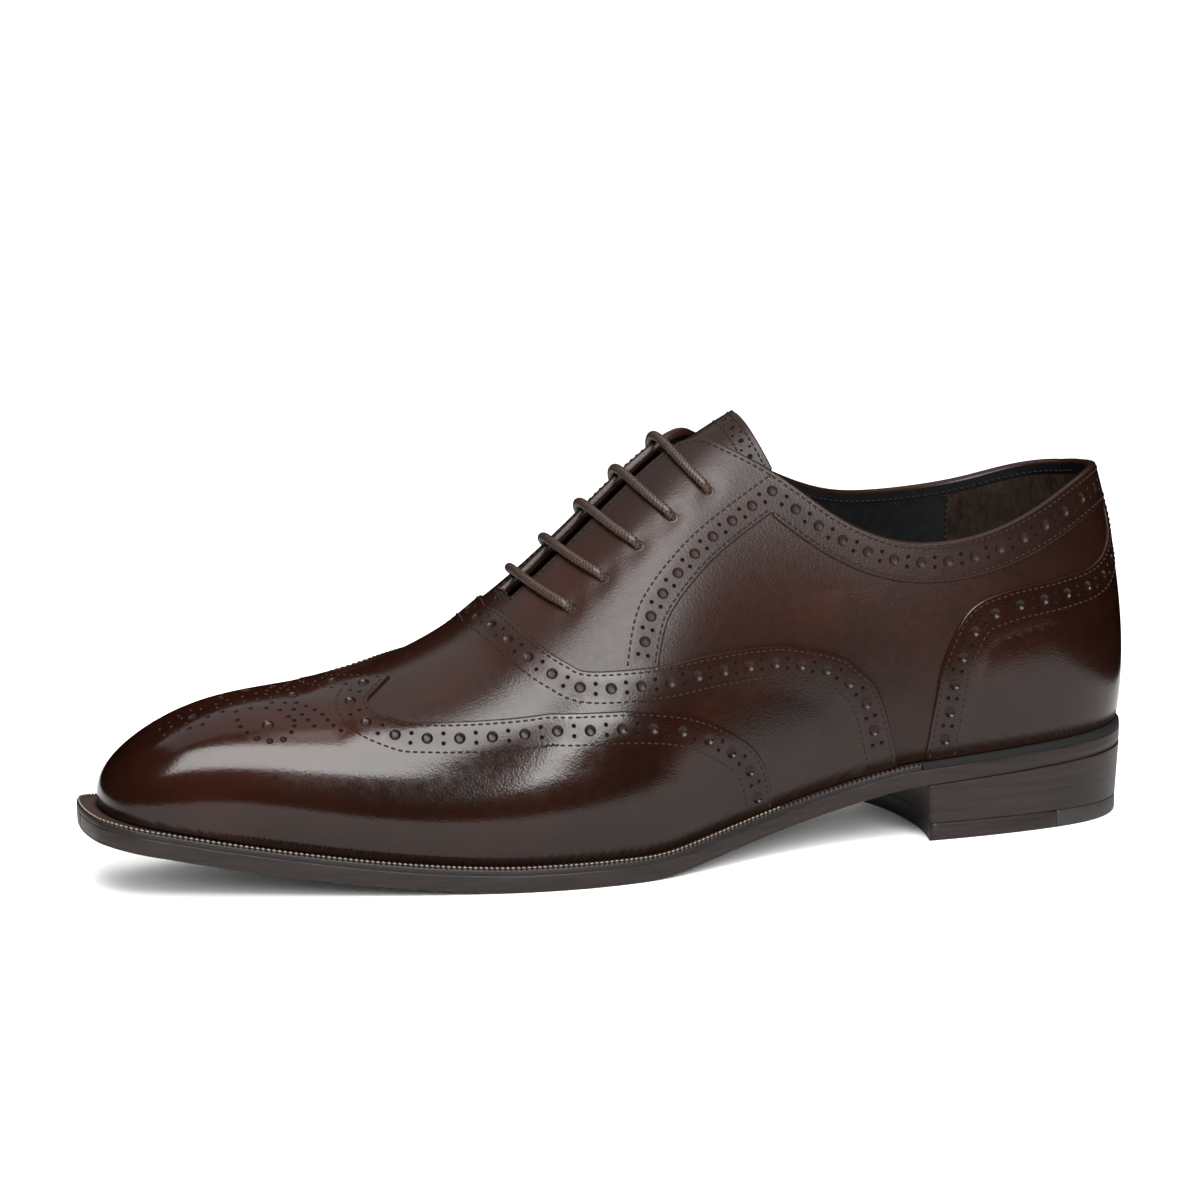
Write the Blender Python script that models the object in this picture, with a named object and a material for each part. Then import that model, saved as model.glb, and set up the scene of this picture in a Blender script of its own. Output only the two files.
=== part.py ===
"""Wingtip brogue, left shoe, built from the shape of its last.

Toe at minus X, lateral side at minus Y, up is plus Z.  Sizes are in millimetres
until a mesh is made, where they turn to metres.
"""
import bpy
import numpy as np

for old in list(bpy.data.objects):
    bpy.data.objects.remove(old, do_unlink=True)

# Main sizes of the last
LENGTH = 300.0          # heel back to toe along the feather line
SOLE_BUILD = 7.4        # outsole and welt together, under the feather line
TOE_SPRING = 15.2       # lift of the sole at the toe
SPRING_FROM = 195.0     # the tread lifts in front of this distance from the heel
SPRING_POWER = 1.64
ARCH_FROM = 163.0       # the waist lifts behind this distance
ARCH_SLOPE = 0.206
SEAT_FROM = 86.0        # the waist eases into the heel seat here
SEAT_EASE = 0.145
EASE_RUN = 14.0         # length over which each slope of the sole comes in
TOE_POLE = 255.0        # toe sections turn about this point on the ridge
HEEL_POLE = 31.0
TOE_BLEND = 9.0
HEEL_BLEND = 8.0
BULGE_AT = 0.21         # share of the section where the wall swells most
STATIONS = 76           # sections around the shoe
ROWS = 12               # steps from the feather line to the ridge
FINE_STEPS = 200        # steps used to measure a girth
RIDGE_MERGE = 0.6       # ridge points closer than this become one
SNAP = 0.08             # a cut this close to a corner goes through it
FAR = 400.0             # beyond every panel, where a field is closed

# Feather line seen from above: distance from heel, lateral half, medial half
OUTLINE = np.array([
    (3.0, 13.5, 14.0),
    (15.0, 25.5, 25.5),
    (42.0, 31.5, 30.5),
    (69.0, 32.0, 27.5),
    (97.0, 31.0, 22.0),
    (127.0, 35.5, 23.0),
    (157.0, 43.0, 33.0),
    (182.0, 44.0, 40.5),
    (205.0, 40.0, 42.5),
    (229.0, 34.0, 38.5),
    (253.0, 27.5, 30.5),
    (273.0, 22.5, 24.0),
    (288.0, 18.5, 20.0),
    (296.5, 13.0, 14.5),
])

# Sections: distance from heel, ridge height, ridge shift to medial, squareness, wall swell
SECTIONS = np.array([
    (0.0, 138.0, 0.0, 1.85, 2.2),
    (42.0, 142.0, 0.0, 2.30, 3.0),
    (72.0, 145.0, 0.0, 2.30, 2.0),
    (107.0, 131.5, 0.0, 2.10, 2.0),
    (142.0, 112.0, 0.0, 1.95, 2.5),
    (177.0, 81.5, 0.5, 2.00, 3.0),
    (202.0, 64.0, 0.0, 2.05, 3.5),
    (227.0, 54.5, -1.0, 2.15, 3.5),
    (249.0, 51.3, -1.0, 2.40, 3.0),
    (267.0, 49.0, -0.5, 2.70, 2.5),
    (284.0, 44.2, 0.0, 3.00, 0.8),
    (300.0, 38.0, 0.0, 3.20, 0.0),
])

# Topline: distance from heel, lateral height, medial height
TOPLINE = np.array([
    (0.0, 102.6, 102.2),
    (17.0, 101.0, 98.8),
    (32.0, 94.9, 94.8),
    (50.0, 87.8, 92.5),
    (66.0, 84.9, 92.3),
    (78.0, 85.3, 93.5),
    (89.0, 88.7, 96.5),
    (100.0, 94.9, 101.0),
    (113.0, 104.7, 107.5),
    (128.0, 113.5, 115.0),
    (140.0, 120.0, 120.0),
])

# Middle line of the pattern, off the ridge: distance from heel, shift to medial
PATTERN_AXIS = np.array([
    (0.0, 0.0),
    (130.0, -2.0),
    (186.0, -3.0),
    (222.0, -11.0),
    (258.0, -7.3),
    (300.0, -3.0),
])

# Cut edges of the panels: distance from heel, girth from the pattern axis
WING_EDGE = [
    (222.5, 0.0), (227.0, 4.0), (230.6, 7.7), (229.4, 11.6), (225.0, 15.6), (216.3, 22.0),
    (203.6, 32.0), (183.1, 49.0), (162.1, 65.4), (145.0, 80.2), (132.4, 93.5), (125.8, 102.3),
    (121.8, 113.0), (119.5, 130.0), (118.0, 150.0),
]
VAMP_EDGE = [
    (191.2, 0.0), (190.2, 6.0), (188.0, 17.0), (184.0, 28.5), (179.0, 38.0), (173.0, 45.7),
    (155.0, 59.0), (140.0, 66.8), (124.0, 73.6), (114.5, 78.2), (100.0, 88.5), (92.8, 97.0),
    (87.3, 106.0), (82.6, 123.0), (75.0, 155.0),
]
FACING_EDGE = [
    (157.5, 70.0), (154.6, 58.5), (151.0, 50.6), (147.0, 47.6), (141.5, 45.4), (133.0, 43.0),
    (116.0, 40.4), (95.0, 38.0), (84.0, 36.5),
]
# Counter edge with its back strap: run around the feather line from the back seam, height
COUNTER_EDGE = [
    (94.0, 5.0), (89.5, 25.0), (87.0, 41.0), (84.5, 53.0), (77.0, 66.0),
    (65.0, 70.7), (48.0, 73.0), (33.0, 76.0), (20.0, 84.0), (13.0, 93.0), (10.5, 104.0),
    (10.0, 125.0),
]

# Leather gauges and clearances
WALL = 2.0              # upper with its lining
PANEL_LIFT = 0.35       # panels stand this far off the upper
PANEL_TOP = 1.25
EDGE_GAP = 0.25         # each panel edge is drawn in by this much
COLLAR_BAND = 12.0      # depth of the band under the topline
COLLAR_FRONT = 145.0    # no collar opening in front of this distance
COLLAR_SHUT = -20.0     # field value there
COLLAR_BLEND = 20.0     # width over which lateral and medial toplines blend
THROAT_END = 187.0      # front of the lace opening
THROAT_HALF = 5.2       # half width of the lace opening
CORNER_SOFT = 5.0       # rounding where the facing meets the topline
WELT_CLEAR = 1.0        # panels start this far above the feather line
TONGUE_TOP_GAP = 0.6    # under the upper's inner face
TONGUE_GAUGE = 1.6
TONGUE_TOP = 120.0      # top edge on the middle line, and its fall at the side
TONGUE_CROWN = 7.0
TONGUE_WIDE = 28.0
TONGUE_FRONT = 192.0
# Half width of the tongue: distance from heel, half width
TONGUE_HALF = np.array([(110.0, 29.0), (125.0, 26.0), (190.0, 13.0)])

# Bottom pieces, heights above the sole's own underside
OUTSOLE_TOP = 4.5
WELT_LOW = 4.85
WELT_TOP = 7.0
INSOLE_LOW = 4.85
INSOLE_TOP = 8.6
FEATHER_INSET = 2.2     # the welt reaches in under the upper
INSOLE_INSET = 2.9
INSOLE_BEVEL = (1.2, 1.0)       # inwards and down
SOLE_FOOT_BEVEL = (1.0, 0.1, 0.9)   # draw-in at the floor and above it, height
SOLE_TOP_BEVEL = (0.5, 0.6)
WELT_BEVEL = (0.8, 0.3, 0.4)    # draw-in on top and at the side, height
# How far the sole stands out past the feather line: distance from heel, stand
WELT_STAND = np.array([
    (0.0, 2.0), (60.0, 2.0), (75.0, 2.2), (110.0, 2.6),
    (150.0, 3.4), (190.0, 4.0), (260.0, 4.3), (286.0, 4.6),
    (293.0, 6.2), (297.8, 7.0), (300.0, 6.1),
])
WELT_END = 2.0          # welt and rand end this far in front of the heel breast
RAND_END = 1.6
END_CLEAR = 0.008       # stations closer than this to a strip's end are left out
HEEL_BREAST = 72.0
BREAST_CURVE = 5.0
TOP_LIFT_HIGH = 5.2
TIP_FRONT = 30.0        # the rubber tip ends here
TIP_BOW = 7.0
STACK_OUT = (1.6, 1.0)  # the heel stands out past the feather line, top and foot
STACK_RAKE = 1.0        # the breast leans back toward the floor
LIFT_OUT = 0.9
LIFT_RAKE = 1.2
HEEL_STEPS = 33         # points round the back of the heel
SIDE_STEPS = 9          # points along a side or across the breast
PIECE_GAP = 0.35

# Lace bars
LACE_AT = (181.5, 171.6, 161.2, 151.0, 140.0)
EYELET_GIRTH = 25.0
LACE_SWEEP = 6.8        # bars lean to the heel as they run down the sides
LACE_HALF_WIDE = 1.5
LACE_HALF_THICK = 1.1
LACE_LIFT = 2.9
LACE_STEPS = 11
LACE_SIDES = 8


def second_slopes(x, y, period):
    """Second derivatives at the knots of a cubic spline, natural or closed."""
    n = len(x)
    system = np.zeros((n, n))
    side = np.zeros(n)
    if period:
        step = np.diff(np.append(x, x[0] + period))
        slope = np.diff(np.append(y, y[0])) / step
        for i in range(n):
            system[i, (i - 1) % n] += step[i - 1]
            system[i, i] += 2 * (step[i - 1] + step[i])
            system[i, (i + 1) % n] += step[i]
            side[i] = 6 * (slope[i] - slope[i - 1])
    else:
        step = np.diff(x)
        slope = np.diff(y) / step
        system[0, 0] = 1
        system[-1, -1] = 1
        for i in range(1, n - 1):
            system[i, i - 1] = step[i - 1]
            system[i, i] = 2 * (step[i - 1] + step[i])
            system[i, i + 1] = step[i]
            side[i] = 6 * (slope[i] - slope[i - 1])
    return np.linalg.solve(system, side)


def spline(x, y, at, period=0.0):
    """Cubic spline through the knots x, y read at the places given."""
    bend = second_slopes(x, y, period)
    if period:
        x = np.append(x, x[0] + period)
        y = np.append(y, y[0])
        bend = np.append(bend, bend[0])
        at = (at - x[0]) % period + x[0]
    i = np.clip(np.searchsorted(x, at) - 1, 0, len(x) - 2)
    step = x[i + 1] - x[i]
    a = (x[i + 1] - at) / step
    b = (at - x[i]) / step
    cubic = ((a**3 - a) * bend[i] + (b**3 - b) * bend[i + 1]) * step**2 / 6
    return a * y[i] + b * y[i + 1] + cubic


def station_of(s):
    """Station number, 0 at the heel to 1 at the toe, for a distance from the heel."""
    return np.arccos(np.clip(1 - 2 * np.asarray(s, float) / LENGTH, -1, 1)) / np.pi


def feather_line(w):
    """Distance from heel and side position at station w; 0 to 1 lateral, 1 to 2 medial."""
    w = np.asarray(w, float)
    knot = station_of(OUTLINE[:, 0])
    x = np.concatenate([[0.0], knot, [1.0], 2 - knot[::-1]])
    y = np.concatenate([[0.0], -OUTLINE[:, 1], [0.0], OUTLINE[::-1, 2]])
    return LENGTH / 2 * (1 - np.cos(np.pi * w)), spline(x, y, w, 2.0)


def grown_line(w, out):
    """The feather line moved outwards, square to itself."""
    small = 1e-4
    s1, y1 = feather_line(w + small)
    s0, y0 = feather_line(w - small)
    s, y = feather_line(w)
    run = np.hypot(s1 - s0, y1 - y0)
    return s + out * (y1 - y0) / run, y - out * (s1 - s0) / run


def ease(u, k):
    """Zero, then a parabola over k, then a straight slope of one."""
    return np.where(u < 0, 0.0, np.where(u < k, u * u / (2 * k), u - k / 2))


def underside(s):
    """Height of the sole's underside: toe spring, flat tread, arch and heel seat."""
    s = np.asarray(s, float)
    toe = TOE_SPRING * (np.maximum(s - SPRING_FROM, 0) / (LENGTH - SPRING_FROM)) ** SPRING_POWER
    arch = ARCH_SLOPE * ease(ARCH_FROM - s, EASE_RUN)
    return toe + arch - SEAT_EASE * ease(SEAT_FROM - s, EASE_RUN)


def section(column, s):
    return spline(SECTIONS[:, 0], SECTIONS[:, column], np.clip(s, 0, LENGTH))


def ridge_place(s):
    """Where the section that starts at s on the feather line meets the ridge."""
    toe = TOE_POLE - TOE_BLEND * np.logaddexp(0, (TOE_POLE - s) / TOE_BLEND)
    return HEEL_POLE + HEEL_BLEND * np.logaddexp(0, (toe - HEEL_POLE) / HEEL_BLEND)


def last_point(w, t):
    """Point of the last at station w, t from 0 at the feather to 1 at the ridge.

    Each section is a superellipse quarter from the feather point to the ridge
    point, pushed out by a swell that is greatest near the bottom of the wall.
    """
    w = np.asarray(w, float) % 2
    t = np.asarray(t, float)
    s0, y0 = feather_line(w)
    s1 = ridge_place(s0)
    y1 = section(2, s1)
    power = 2 / section(3, s0)
    low = underside(s0) + SOLE_BUILD
    across = np.maximum(np.cos(t * np.pi / 2), 0) ** power
    rise = np.sin(t * np.pi / 2) ** power
    swell = section(4, s0) * (t / BULGE_AT) * np.exp(1 - t / BULGE_AT) * (1 - t**4)
    k = 1 - across - swell / np.hypot(s1 - s0, y1 - y0)
    s = s0 + (s1 - s0) * k
    y = y0 + (y1 - y0) * k
    return np.stack([-s, y, low + (section(1, s) - low) * rise], -1)


def girth_curve(w):
    """Fine section at station w with its girth measured from the ridge."""
    t = np.linspace(0, 1, FINE_STEPS + 1)
    w = np.atleast_1d(np.asarray(w, float))
    points = last_point(w[:, None], t[None, :])
    step = np.linalg.norm(np.diff(points, axis=1), axis=2)
    run = np.concatenate([np.zeros((len(w), 1)), np.cumsum(step, axis=1)], axis=1)
    return t, run[:, -1:] - run


def on_last(s, girth):
    """Station and share of the section for a distance from heel and a signed girth."""
    w = station_of(s)
    w = np.where(girth < 0, w, 2 - w)
    t, run = girth_curve(w)
    share = np.array([np.interp(abs(g), r[::-1], t[::-1]) for g, r in zip(girth, run)])
    return w, share


def outward(w, t):
    """Outward unit normal of the last."""
    small = 1e-3
    along = last_point(w + small, t) - last_point(w - small, t)
    t1 = np.minimum(t + small, 1.0)
    up = last_point(w, t1) - last_point(w, t1 - 2 * small)
    normal = np.cross(up, along)
    return normal / np.linalg.norm(normal, axis=-1, keepdims=True)


def axis_shift(s):
    return np.interp(s, PATTERN_AXIS[:, 0], PATTERN_AXIS[:, 1])


def rounded(points, steps=6):
    """Smooth polyline through the points, by a cubic through each four in turn."""
    p = np.array(points, float)
    p = np.concatenate([[2 * p[0] - p[1]], p, [2 * p[-1] - p[-2]]])
    u = (np.arange(steps) / steps)[:, None]
    parts = []
    for a, b, c, d in zip(p[:-3], p[1:-2], p[2:-1], p[3:]):
        parts.append(0.5 * (2 * b + (c - a) * u + (2 * a - 5 * b + 4 * c - d) * u**2
                            + (3 * b - a - 3 * c + d) * u**3))
    return np.concatenate(parts + [p[-2:-1]])


def side_of(curve, close, x, y):
    """Signed distance to a curve closed through the outer points; negative is inside."""
    ring = np.concatenate([curve, np.array(close, float)])
    p = np.stack([x, y], -1)[:, None, :]
    a = ring[None, :, :]
    b = np.roll(ring, -1, axis=0)[None, :, :]
    span = b - a
    along = np.clip(((p - a) * span).sum(-1) / (span**2).sum(-1), 0, 1)
    away = np.linalg.norm(p - a - along[..., None] * span, axis=-1).min(axis=1)
    over = (a[..., 1] > p[..., 1]) != (b[..., 1] > p[..., 1])
    drop = np.where(span[..., 1] == 0, 1e-9, span[..., 1])
    cross = p[..., 0] < a[..., 0] + (p[..., 1] - a[..., 1]) / drop * span[..., 0]
    inside = (over & cross).sum(axis=1) % 2 == 1
    return np.where(inside, -away, away)


def last_mesh():
    """Closed mesh of the last: rows hold point, normal, distance, girth and run from the back."""
    w = np.arange(STATIONS) * 2 / STATIONS
    t = np.arange(ROWS) / ROWS
    grid = last_point(w[:, None], t[None, :])
    fine, run = girth_curve(w)
    girth = np.stack([np.interp(t, fine, r) for r in run])
    girth = np.where((w > 1)[:, None], girth, -girth)
    half = STATIONS // 2
    ridge = last_point(w[: half + 1], np.ones(half + 1))
    side = np.linspace(0, 1, 2 * FINE_STEPS + 1)
    s, y = feather_line(side)
    length = np.concatenate([[0.0], np.cumsum(np.hypot(np.diff(s), np.diff(y)))])
    around = np.interp(np.minimum(w, 2 - w), side, length)
    points = list(grid.reshape(-1, 3))
    spread = list(girth.reshape(-1))
    back_run = list(np.repeat(around, ROWS))
    ridge_id = []
    for point, run_here in zip(ridge, around):
        if ridge_id and np.linalg.norm(points[ridge_id[-1]] - point) < RIDGE_MERGE:
            ridge_id.append(ridge_id[-1])
        else:
            points.append(point)
            spread.append(0.0)
            back_run.append(run_here)
            ridge_id.append(len(points) - 1)
    ids = np.arange(STATIONS * ROWS).reshape(STATIONS, ROWS)
    top = np.array([ridge_id[min(i, STATIONS - i)] for i in range(STATIONS)])
    ids = np.concatenate([ids, top[:, None]], axis=1)
    nxt = np.roll(ids, -1, axis=0)
    a = ids[:, :-1].ravel()
    b = nxt[:, :-1].ravel()
    c = nxt[:, 1:].ravel()
    d = ids[:, 1:].ravel()
    faces = np.concatenate([np.stack([a, d, c], -1), np.stack([a, c, b], -1)])
    real = (faces[:, 0] != faces[:, 1]) & (faces[:, 1] != faces[:, 2]) & (faces[:, 0] != faces[:, 2])
    faces = faces[real]
    points = np.array(points)
    flat = np.cross(points[faces[:, 1]] - points[faces[:, 0]], points[faces[:, 2]] - points[faces[:, 0]])
    normal = np.zeros_like(points)
    for corner in range(3):
        np.add.at(normal, faces[:, corner], flat)
    normal /= np.linalg.norm(normal, axis=1, keepdims=True)
    tags = np.stack([-points[:, 0], np.array(spread), np.array(back_run)], -1)
    return np.concatenate([points, normal, tags], axis=1), faces


def trim(piece, value):
    """Keep the part of a mesh where the value is below zero, cutting faces on the line."""
    rows, faces = piece
    value = np.where(np.abs(value) < SNAP, 0.0, value)
    rows = list(rows)
    value = list(value)
    made = {}

    def between(i, j):
        key = (min(i, j), max(i, j))
        if key not in made:
            k = value[i] / (value[i] - value[j])
            rows.append(rows[i] + (rows[j] - rows[i]) * k)
            value.append(0.0)
            made[key] = len(rows) - 1
        return made[key]

    kept = []
    for face in faces:
        loop = []
        for i, j in zip(face, np.roll(face, -1)):
            if value[i] <= 0:
                loop.append(i)
            if value[i] * value[j] < 0:
                loop.append(between(i, j))
        if len(loop) < 3 or max(abs(value[i]) for i in loop) == 0:
            continue
        kept.append(loop[:3])
        if len(loop) == 4:
            kept.append([loop[0], loop[2], loop[3]])
    kept = np.array(kept)
    used, index = np.unique(kept, return_inverse=True)
    return np.array(rows)[used], index.reshape(kept.shape)


def add_mesh(name, points, faces, look):
    """Make one object from points in millimetres."""
    mesh = bpy.data.meshes.new(name)
    mesh.from_pydata((np.asarray(points) * 0.001).tolist(), [], [[int(i) for i in f] for f in faces])
    mesh.materials.append(look)
    mesh.update()
    obj = bpy.data.objects.new(name, mesh)
    bpy.context.scene.collection.objects.link(obj)
    return obj


def shell(name, piece, low, high, look):
    """Solid between two offsets of a trimmed mesh, closed around its edge."""
    rows, faces = piece
    count = len(rows)
    outer = rows[:, :3] + high * rows[:, 3:6]
    inner = rows[:, :3] + low * rows[:, 3:6]
    edges = {}
    for face in faces:
        for i, j in zip(face, np.roll(face, -1)):
            edges[(i, j)] = True
    rim = [(i, j) for i, j in edges if (j, i) not in edges]
    body = [list(f) for f in faces]
    body += [[a + count, c + count, b + count] for a, b, c in faces]
    for i, j in rim:
        body.append([j, i, i + count])
        body.append([j, i + count, j + count])
    return add_mesh(name, np.concatenate([outer, inner]), body, look)


def stack(name, loops, rungs, look):
    """Solid from stacked closed loops, each clockwise seen from the last one.

    The ends are capped by the triangles in rungs, or by one flat face each.
    """
    count = len(loops[0])
    points = np.concatenate(loops)
    body = []
    for level in range(len(loops) - 1):
        base = level * count
        for i in range(count):
            j = (i + 1) % count
            body.append([base + i, base + count + j, base + j])
            body.append([base + i, base + count + i, base + count + j])
    last = (len(loops) - 1) * count
    for corners in rungs or [range(count)]:
        body.append(list(corners))
        body.append([last + i for i in reversed(corners)])
    return add_mesh(name, points, body, look)


def leather(name, colour, rough):
    look = bpy.data.materials.new(name)
    look.use_nodes = True
    shader = look.node_tree.nodes["Principled BSDF"]
    shader.inputs["Base Color"].default_value = (*colour, 1.0)
    shader.inputs["Roughness"].default_value = rough
    look.diffuse_color = (*colour, 1.0)
    return look


BROWN = leather("burnished calf", (0.050, 0.020, 0.013), 0.35)
DARK = leather("dark calf", (0.030, 0.014, 0.010), 0.35)
SOLE = leather("sole leather", (0.035, 0.020, 0.015), 0.45)
LINING = leather("lining leather", (0.20, 0.13, 0.08), 0.6)
RUBBER = leather("rubber", (0.012, 0.012, 0.012), 0.7)
CORD = leather("waxed cord", (0.030, 0.018, 0.014), 0.6)

# The closed last, from which every panel is trimmed
LAST = last_mesh()


def distance(piece):
    return piece[0][:, 6]


def girth(piece):
    """Girth from the pattern axis, the same on both sides."""
    return np.abs(piece[0][:, 7] - axis_shift(piece[0][:, 6]))


def soft_max(a, b, soft):
    blend = np.maximum(soft - np.abs(a - b), 0) / soft
    return np.maximum(a, b) + blend**2 * soft / 4


def opening(piece):
    """Positive over the collar and the lace opening."""
    rows = piece[0]
    s = rows[:, 6]
    along = np.clip(s, 0, TOPLINE[-1, 0])
    lateral = spline(TOPLINE[:, 0], TOPLINE[:, 1], along)
    medial = spline(TOPLINE[:, 0], TOPLINE[:, 2], along)
    side = np.clip(rows[:, 1] / COLLAR_BLEND + 0.5, 0, 1)
    collar = rows[:, 2] - (lateral + (medial - lateral) * side)
    collar = np.where(s > COLLAR_FRONT, COLLAR_SHUT, collar)
    lace = np.minimum(THROAT_HALF - girth(piece), THROAT_END - s)
    return soft_max(collar, lace, CORNER_SOFT)


def wing(piece):
    """Negative on the wing cap."""
    close = [(WING_EDGE[-1][0], FAR), (FAR, FAR), (FAR, -FAR), (WING_EDGE[0][0], -FAR)]
    return side_of(rounded(WING_EDGE), close, distance(piece), girth(piece))


def vamp_back(piece):
    """Negative in front of the vamp's back edge."""
    close = [(VAMP_EDGE[-1][0], FAR), (FAR, FAR), (FAR, -FAR), (VAMP_EDGE[0][0], -FAR)]
    return side_of(rounded(VAMP_EDGE), close, distance(piece), girth(piece))


def facing_back(piece):
    """Negative on the lace side of the facing's back edge."""
    close = [(FACING_EDGE[-1][0], -FAR), (FAR, -FAR), (FAR, FACING_EDGE[0][1])]
    return side_of(rounded(FACING_EDGE), close, distance(piece), girth(piece))


def counter_front(piece):
    """Negative on the counter and its back strap."""
    rows = piece[0]
    close = [(-FAR, COUNTER_EDGE[-1][1]), (-FAR, COUNTER_EDGE[0][1])]
    return side_of(rounded(COUNTER_EDGE), close, rows[:, 8], rows[:, 2])


def near_welt(piece):
    """Negative once clear of the welt."""
    return underside(distance(piece)) + SOLE_BUILD + WELT_CLEAR - piece[0][:, 2]


def pick(*tests):
    """Trim the last by each test in turn."""
    piece = LAST
    for test in tests:
        piece = trim(piece, test(piece))
    return piece


def lateral_half(piece):
    return piece[0][:, 7] - axis_shift(piece[0][:, 6]) + EDGE_GAP


def medial_half(piece):
    return axis_shift(piece[0][:, 6]) - piece[0][:, 7] + EDGE_GAP


# Upper: one hollow shell, open at the collar, the throat and underneath
shell("upper", pick(opening), -WALL, 0.0, BROWN)

# Wing cap over the toe, its wings running back along both sides
shell("wing_cap", pick(near_welt, lambda p: wing(p) + EDGE_GAP), PANEL_LIFT, PANEL_TOP, BROWN)

# Vamp between the wing cap and the quarters
shell("vamp", pick(near_welt, lambda p: EDGE_GAP - wing(p), lambda p: vamp_back(p) + EDGE_GAP),
      PANEL_LIFT, PANEL_TOP, BROWN)

# Facings on both sides of the lace opening, and the band under the topline
FACING = pick(lambda p: EDGE_GAP - vamp_back(p), lambda p: facing_back(p) + EDGE_GAP,
              lambda p: opening(p) + EDGE_GAP)
BAND = pick(lambda p: opening(p) + EDGE_GAP, lambda p: EDGE_GAP - facing_back(p),
            lambda p: EDGE_GAP - counter_front(p), lambda p: -opening(p) - COLLAR_BAND)
for name, half in (("lateral", lateral_half), ("medial", medial_half)):
    shell("facing_" + name, trim(FACING, half(FACING)), PANEL_LIFT, PANEL_TOP, BROWN)
    shell("collar_band_" + name, trim(BAND, half(BAND)), PANEL_LIFT, PANEL_TOP, BROWN)

# Counter with the strap over the back seam
shell("counter", pick(near_welt, lambda p: counter_front(p) + EDGE_GAP,
                      lambda p: opening(p) + EDGE_GAP), PANEL_LIFT, PANEL_TOP, BROWN)


def tongue_outline(piece):
    """Negative on the tongue: a tapered strip with a rounded top."""
    s = distance(piece)
    g = girth(piece)
    half = np.interp(s, TONGUE_HALF[:, 0], TONGUE_HALF[:, 1])
    top = TONGUE_TOP - TONGUE_CROWN * (g / TONGUE_WIDE) ** 2 - s
    return np.maximum(np.maximum(g - half, top), s - TONGUE_FRONT)


# Tongue, under the facings
TONGUE_LOW = -WALL - TONGUE_TOP_GAP - TONGUE_GAUGE
shell("tongue", pick(tongue_outline), TONGUE_LOW, -WALL - TONGUE_TOP_GAP, DARK)

# Lace bars from eyelet to eyelet, flattened cord
for number, place in enumerate(LACE_AT, 1):
    share = np.linspace(-1, 1, LACE_STEPS)
    s = place - LACE_SWEEP * share**2
    g = EYELET_GIRTH * share + axis_shift(s)
    w, t = on_last(s, g)
    normal = outward(w, t)
    path = last_point(w, t) + LACE_LIFT * normal
    run = np.gradient(path, axis=0)
    run /= np.linalg.norm(run, axis=1, keepdims=True)
    wide = np.cross(run, normal)
    wide /= np.linalg.norm(wide, axis=1, keepdims=True)
    up = np.cross(wide, run)
    turn = np.arange(LACE_SIDES) * 2 * np.pi / LACE_SIDES
    ring = (path[:, None] + LACE_HALF_WIDE * np.cos(turn)[None, :, None] * wide[:, None]
            + LACE_HALF_THICK * np.sin(turn)[None, :, None] * up[:, None])
    fan = [(0, i, i + 1) for i in range(1, LACE_SIDES - 1)]
    stack("lace_bar_%d" % number, list(ring), fan, CORD)

# Bottom pieces, on loops that follow the feather line
AROUND = np.arange(STATIONS) * 2 / STATIONS
HALF = STATIONS // 2
LADDER = [(0, 1, STATIONS - 1)]
for i in range(1, HALF - 1):
    LADDER.append((i, i + 1, STATIONS - i))
    LADDER.append((i + 1, STATIONS - i - 1, STATIONS - i))
LADDER.append((HALF - 1, HALF, HALF + 1))


def welt_out(s):
    """How far the sole stands out past the feather line."""
    return np.interp(s, WELT_STAND[:, 0], WELT_STAND[:, 1])


def sole_loop(w, out, rise):
    s, y = grown_line(w, out)
    return np.stack([-s, y, underside(s) + rise], -1)


EDGE = welt_out(feather_line(AROUND)[0])
stack("outsole", [
    sole_loop(AROUND, EDGE - SOLE_FOOT_BEVEL[0], 0.0),
    sole_loop(AROUND, EDGE - SOLE_FOOT_BEVEL[1], SOLE_FOOT_BEVEL[2]),
    sole_loop(AROUND, EDGE, OUTSOLE_TOP - SOLE_TOP_BEVEL[1]),
    sole_loop(AROUND, EDGE - SOLE_TOP_BEVEL[0], OUTSOLE_TOP),
], LADDER, SOLE)
stack("insole", [
    sole_loop(AROUND, -INSOLE_INSET, INSOLE_LOW),
    sole_loop(AROUND, -INSOLE_INSET, INSOLE_TOP - INSOLE_BEVEL[1]),
    sole_loop(AROUND, -INSOLE_INSET - INSOLE_BEVEL[0], INSOLE_TOP),
], LADDER, LINING)


def strip(name, w, look):
    """Welt or rand: a flat strip between the feather inset and the sole edge."""
    edge = welt_out(feather_line(w)[0])
    corners = [
        sole_loop(w, -FEATHER_INSET, WELT_LOW),
        sole_loop(w, -FEATHER_INSET, WELT_TOP),
        sole_loop(w, edge - WELT_BEVEL[0], WELT_TOP),
        sole_loop(w, edge - WELT_BEVEL[1], WELT_TOP - WELT_BEVEL[2]),
        sole_loop(w, edge - WELT_BEVEL[1], WELT_LOW),
    ]
    rings = np.stack(corners, 1)
    stack(name, list(rings), [(0, 1, 2), (0, 2, 3), (0, 3, 4)], look)


WELT_BACK = float(station_of(HEEL_BREAST + WELT_END))
RAND_FRONT = float(station_of(HEEL_BREAST + RAND_END))
inner = AROUND[(AROUND > WELT_BACK + END_CLEAR) & (AROUND < 2 - WELT_BACK - END_CLEAR)]
strip("welt", np.concatenate([[WELT_BACK], inner, [2 - WELT_BACK]]), SOLE)
signed = np.where(AROUND > 1, AROUND - 2, AROUND)
inner = np.sort(signed[np.abs(signed) < RAND_FRONT - END_CLEAR])
strip("heel_rand", np.concatenate([[-RAND_FRONT], inner, [RAND_FRONT]]), DARK)


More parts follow.
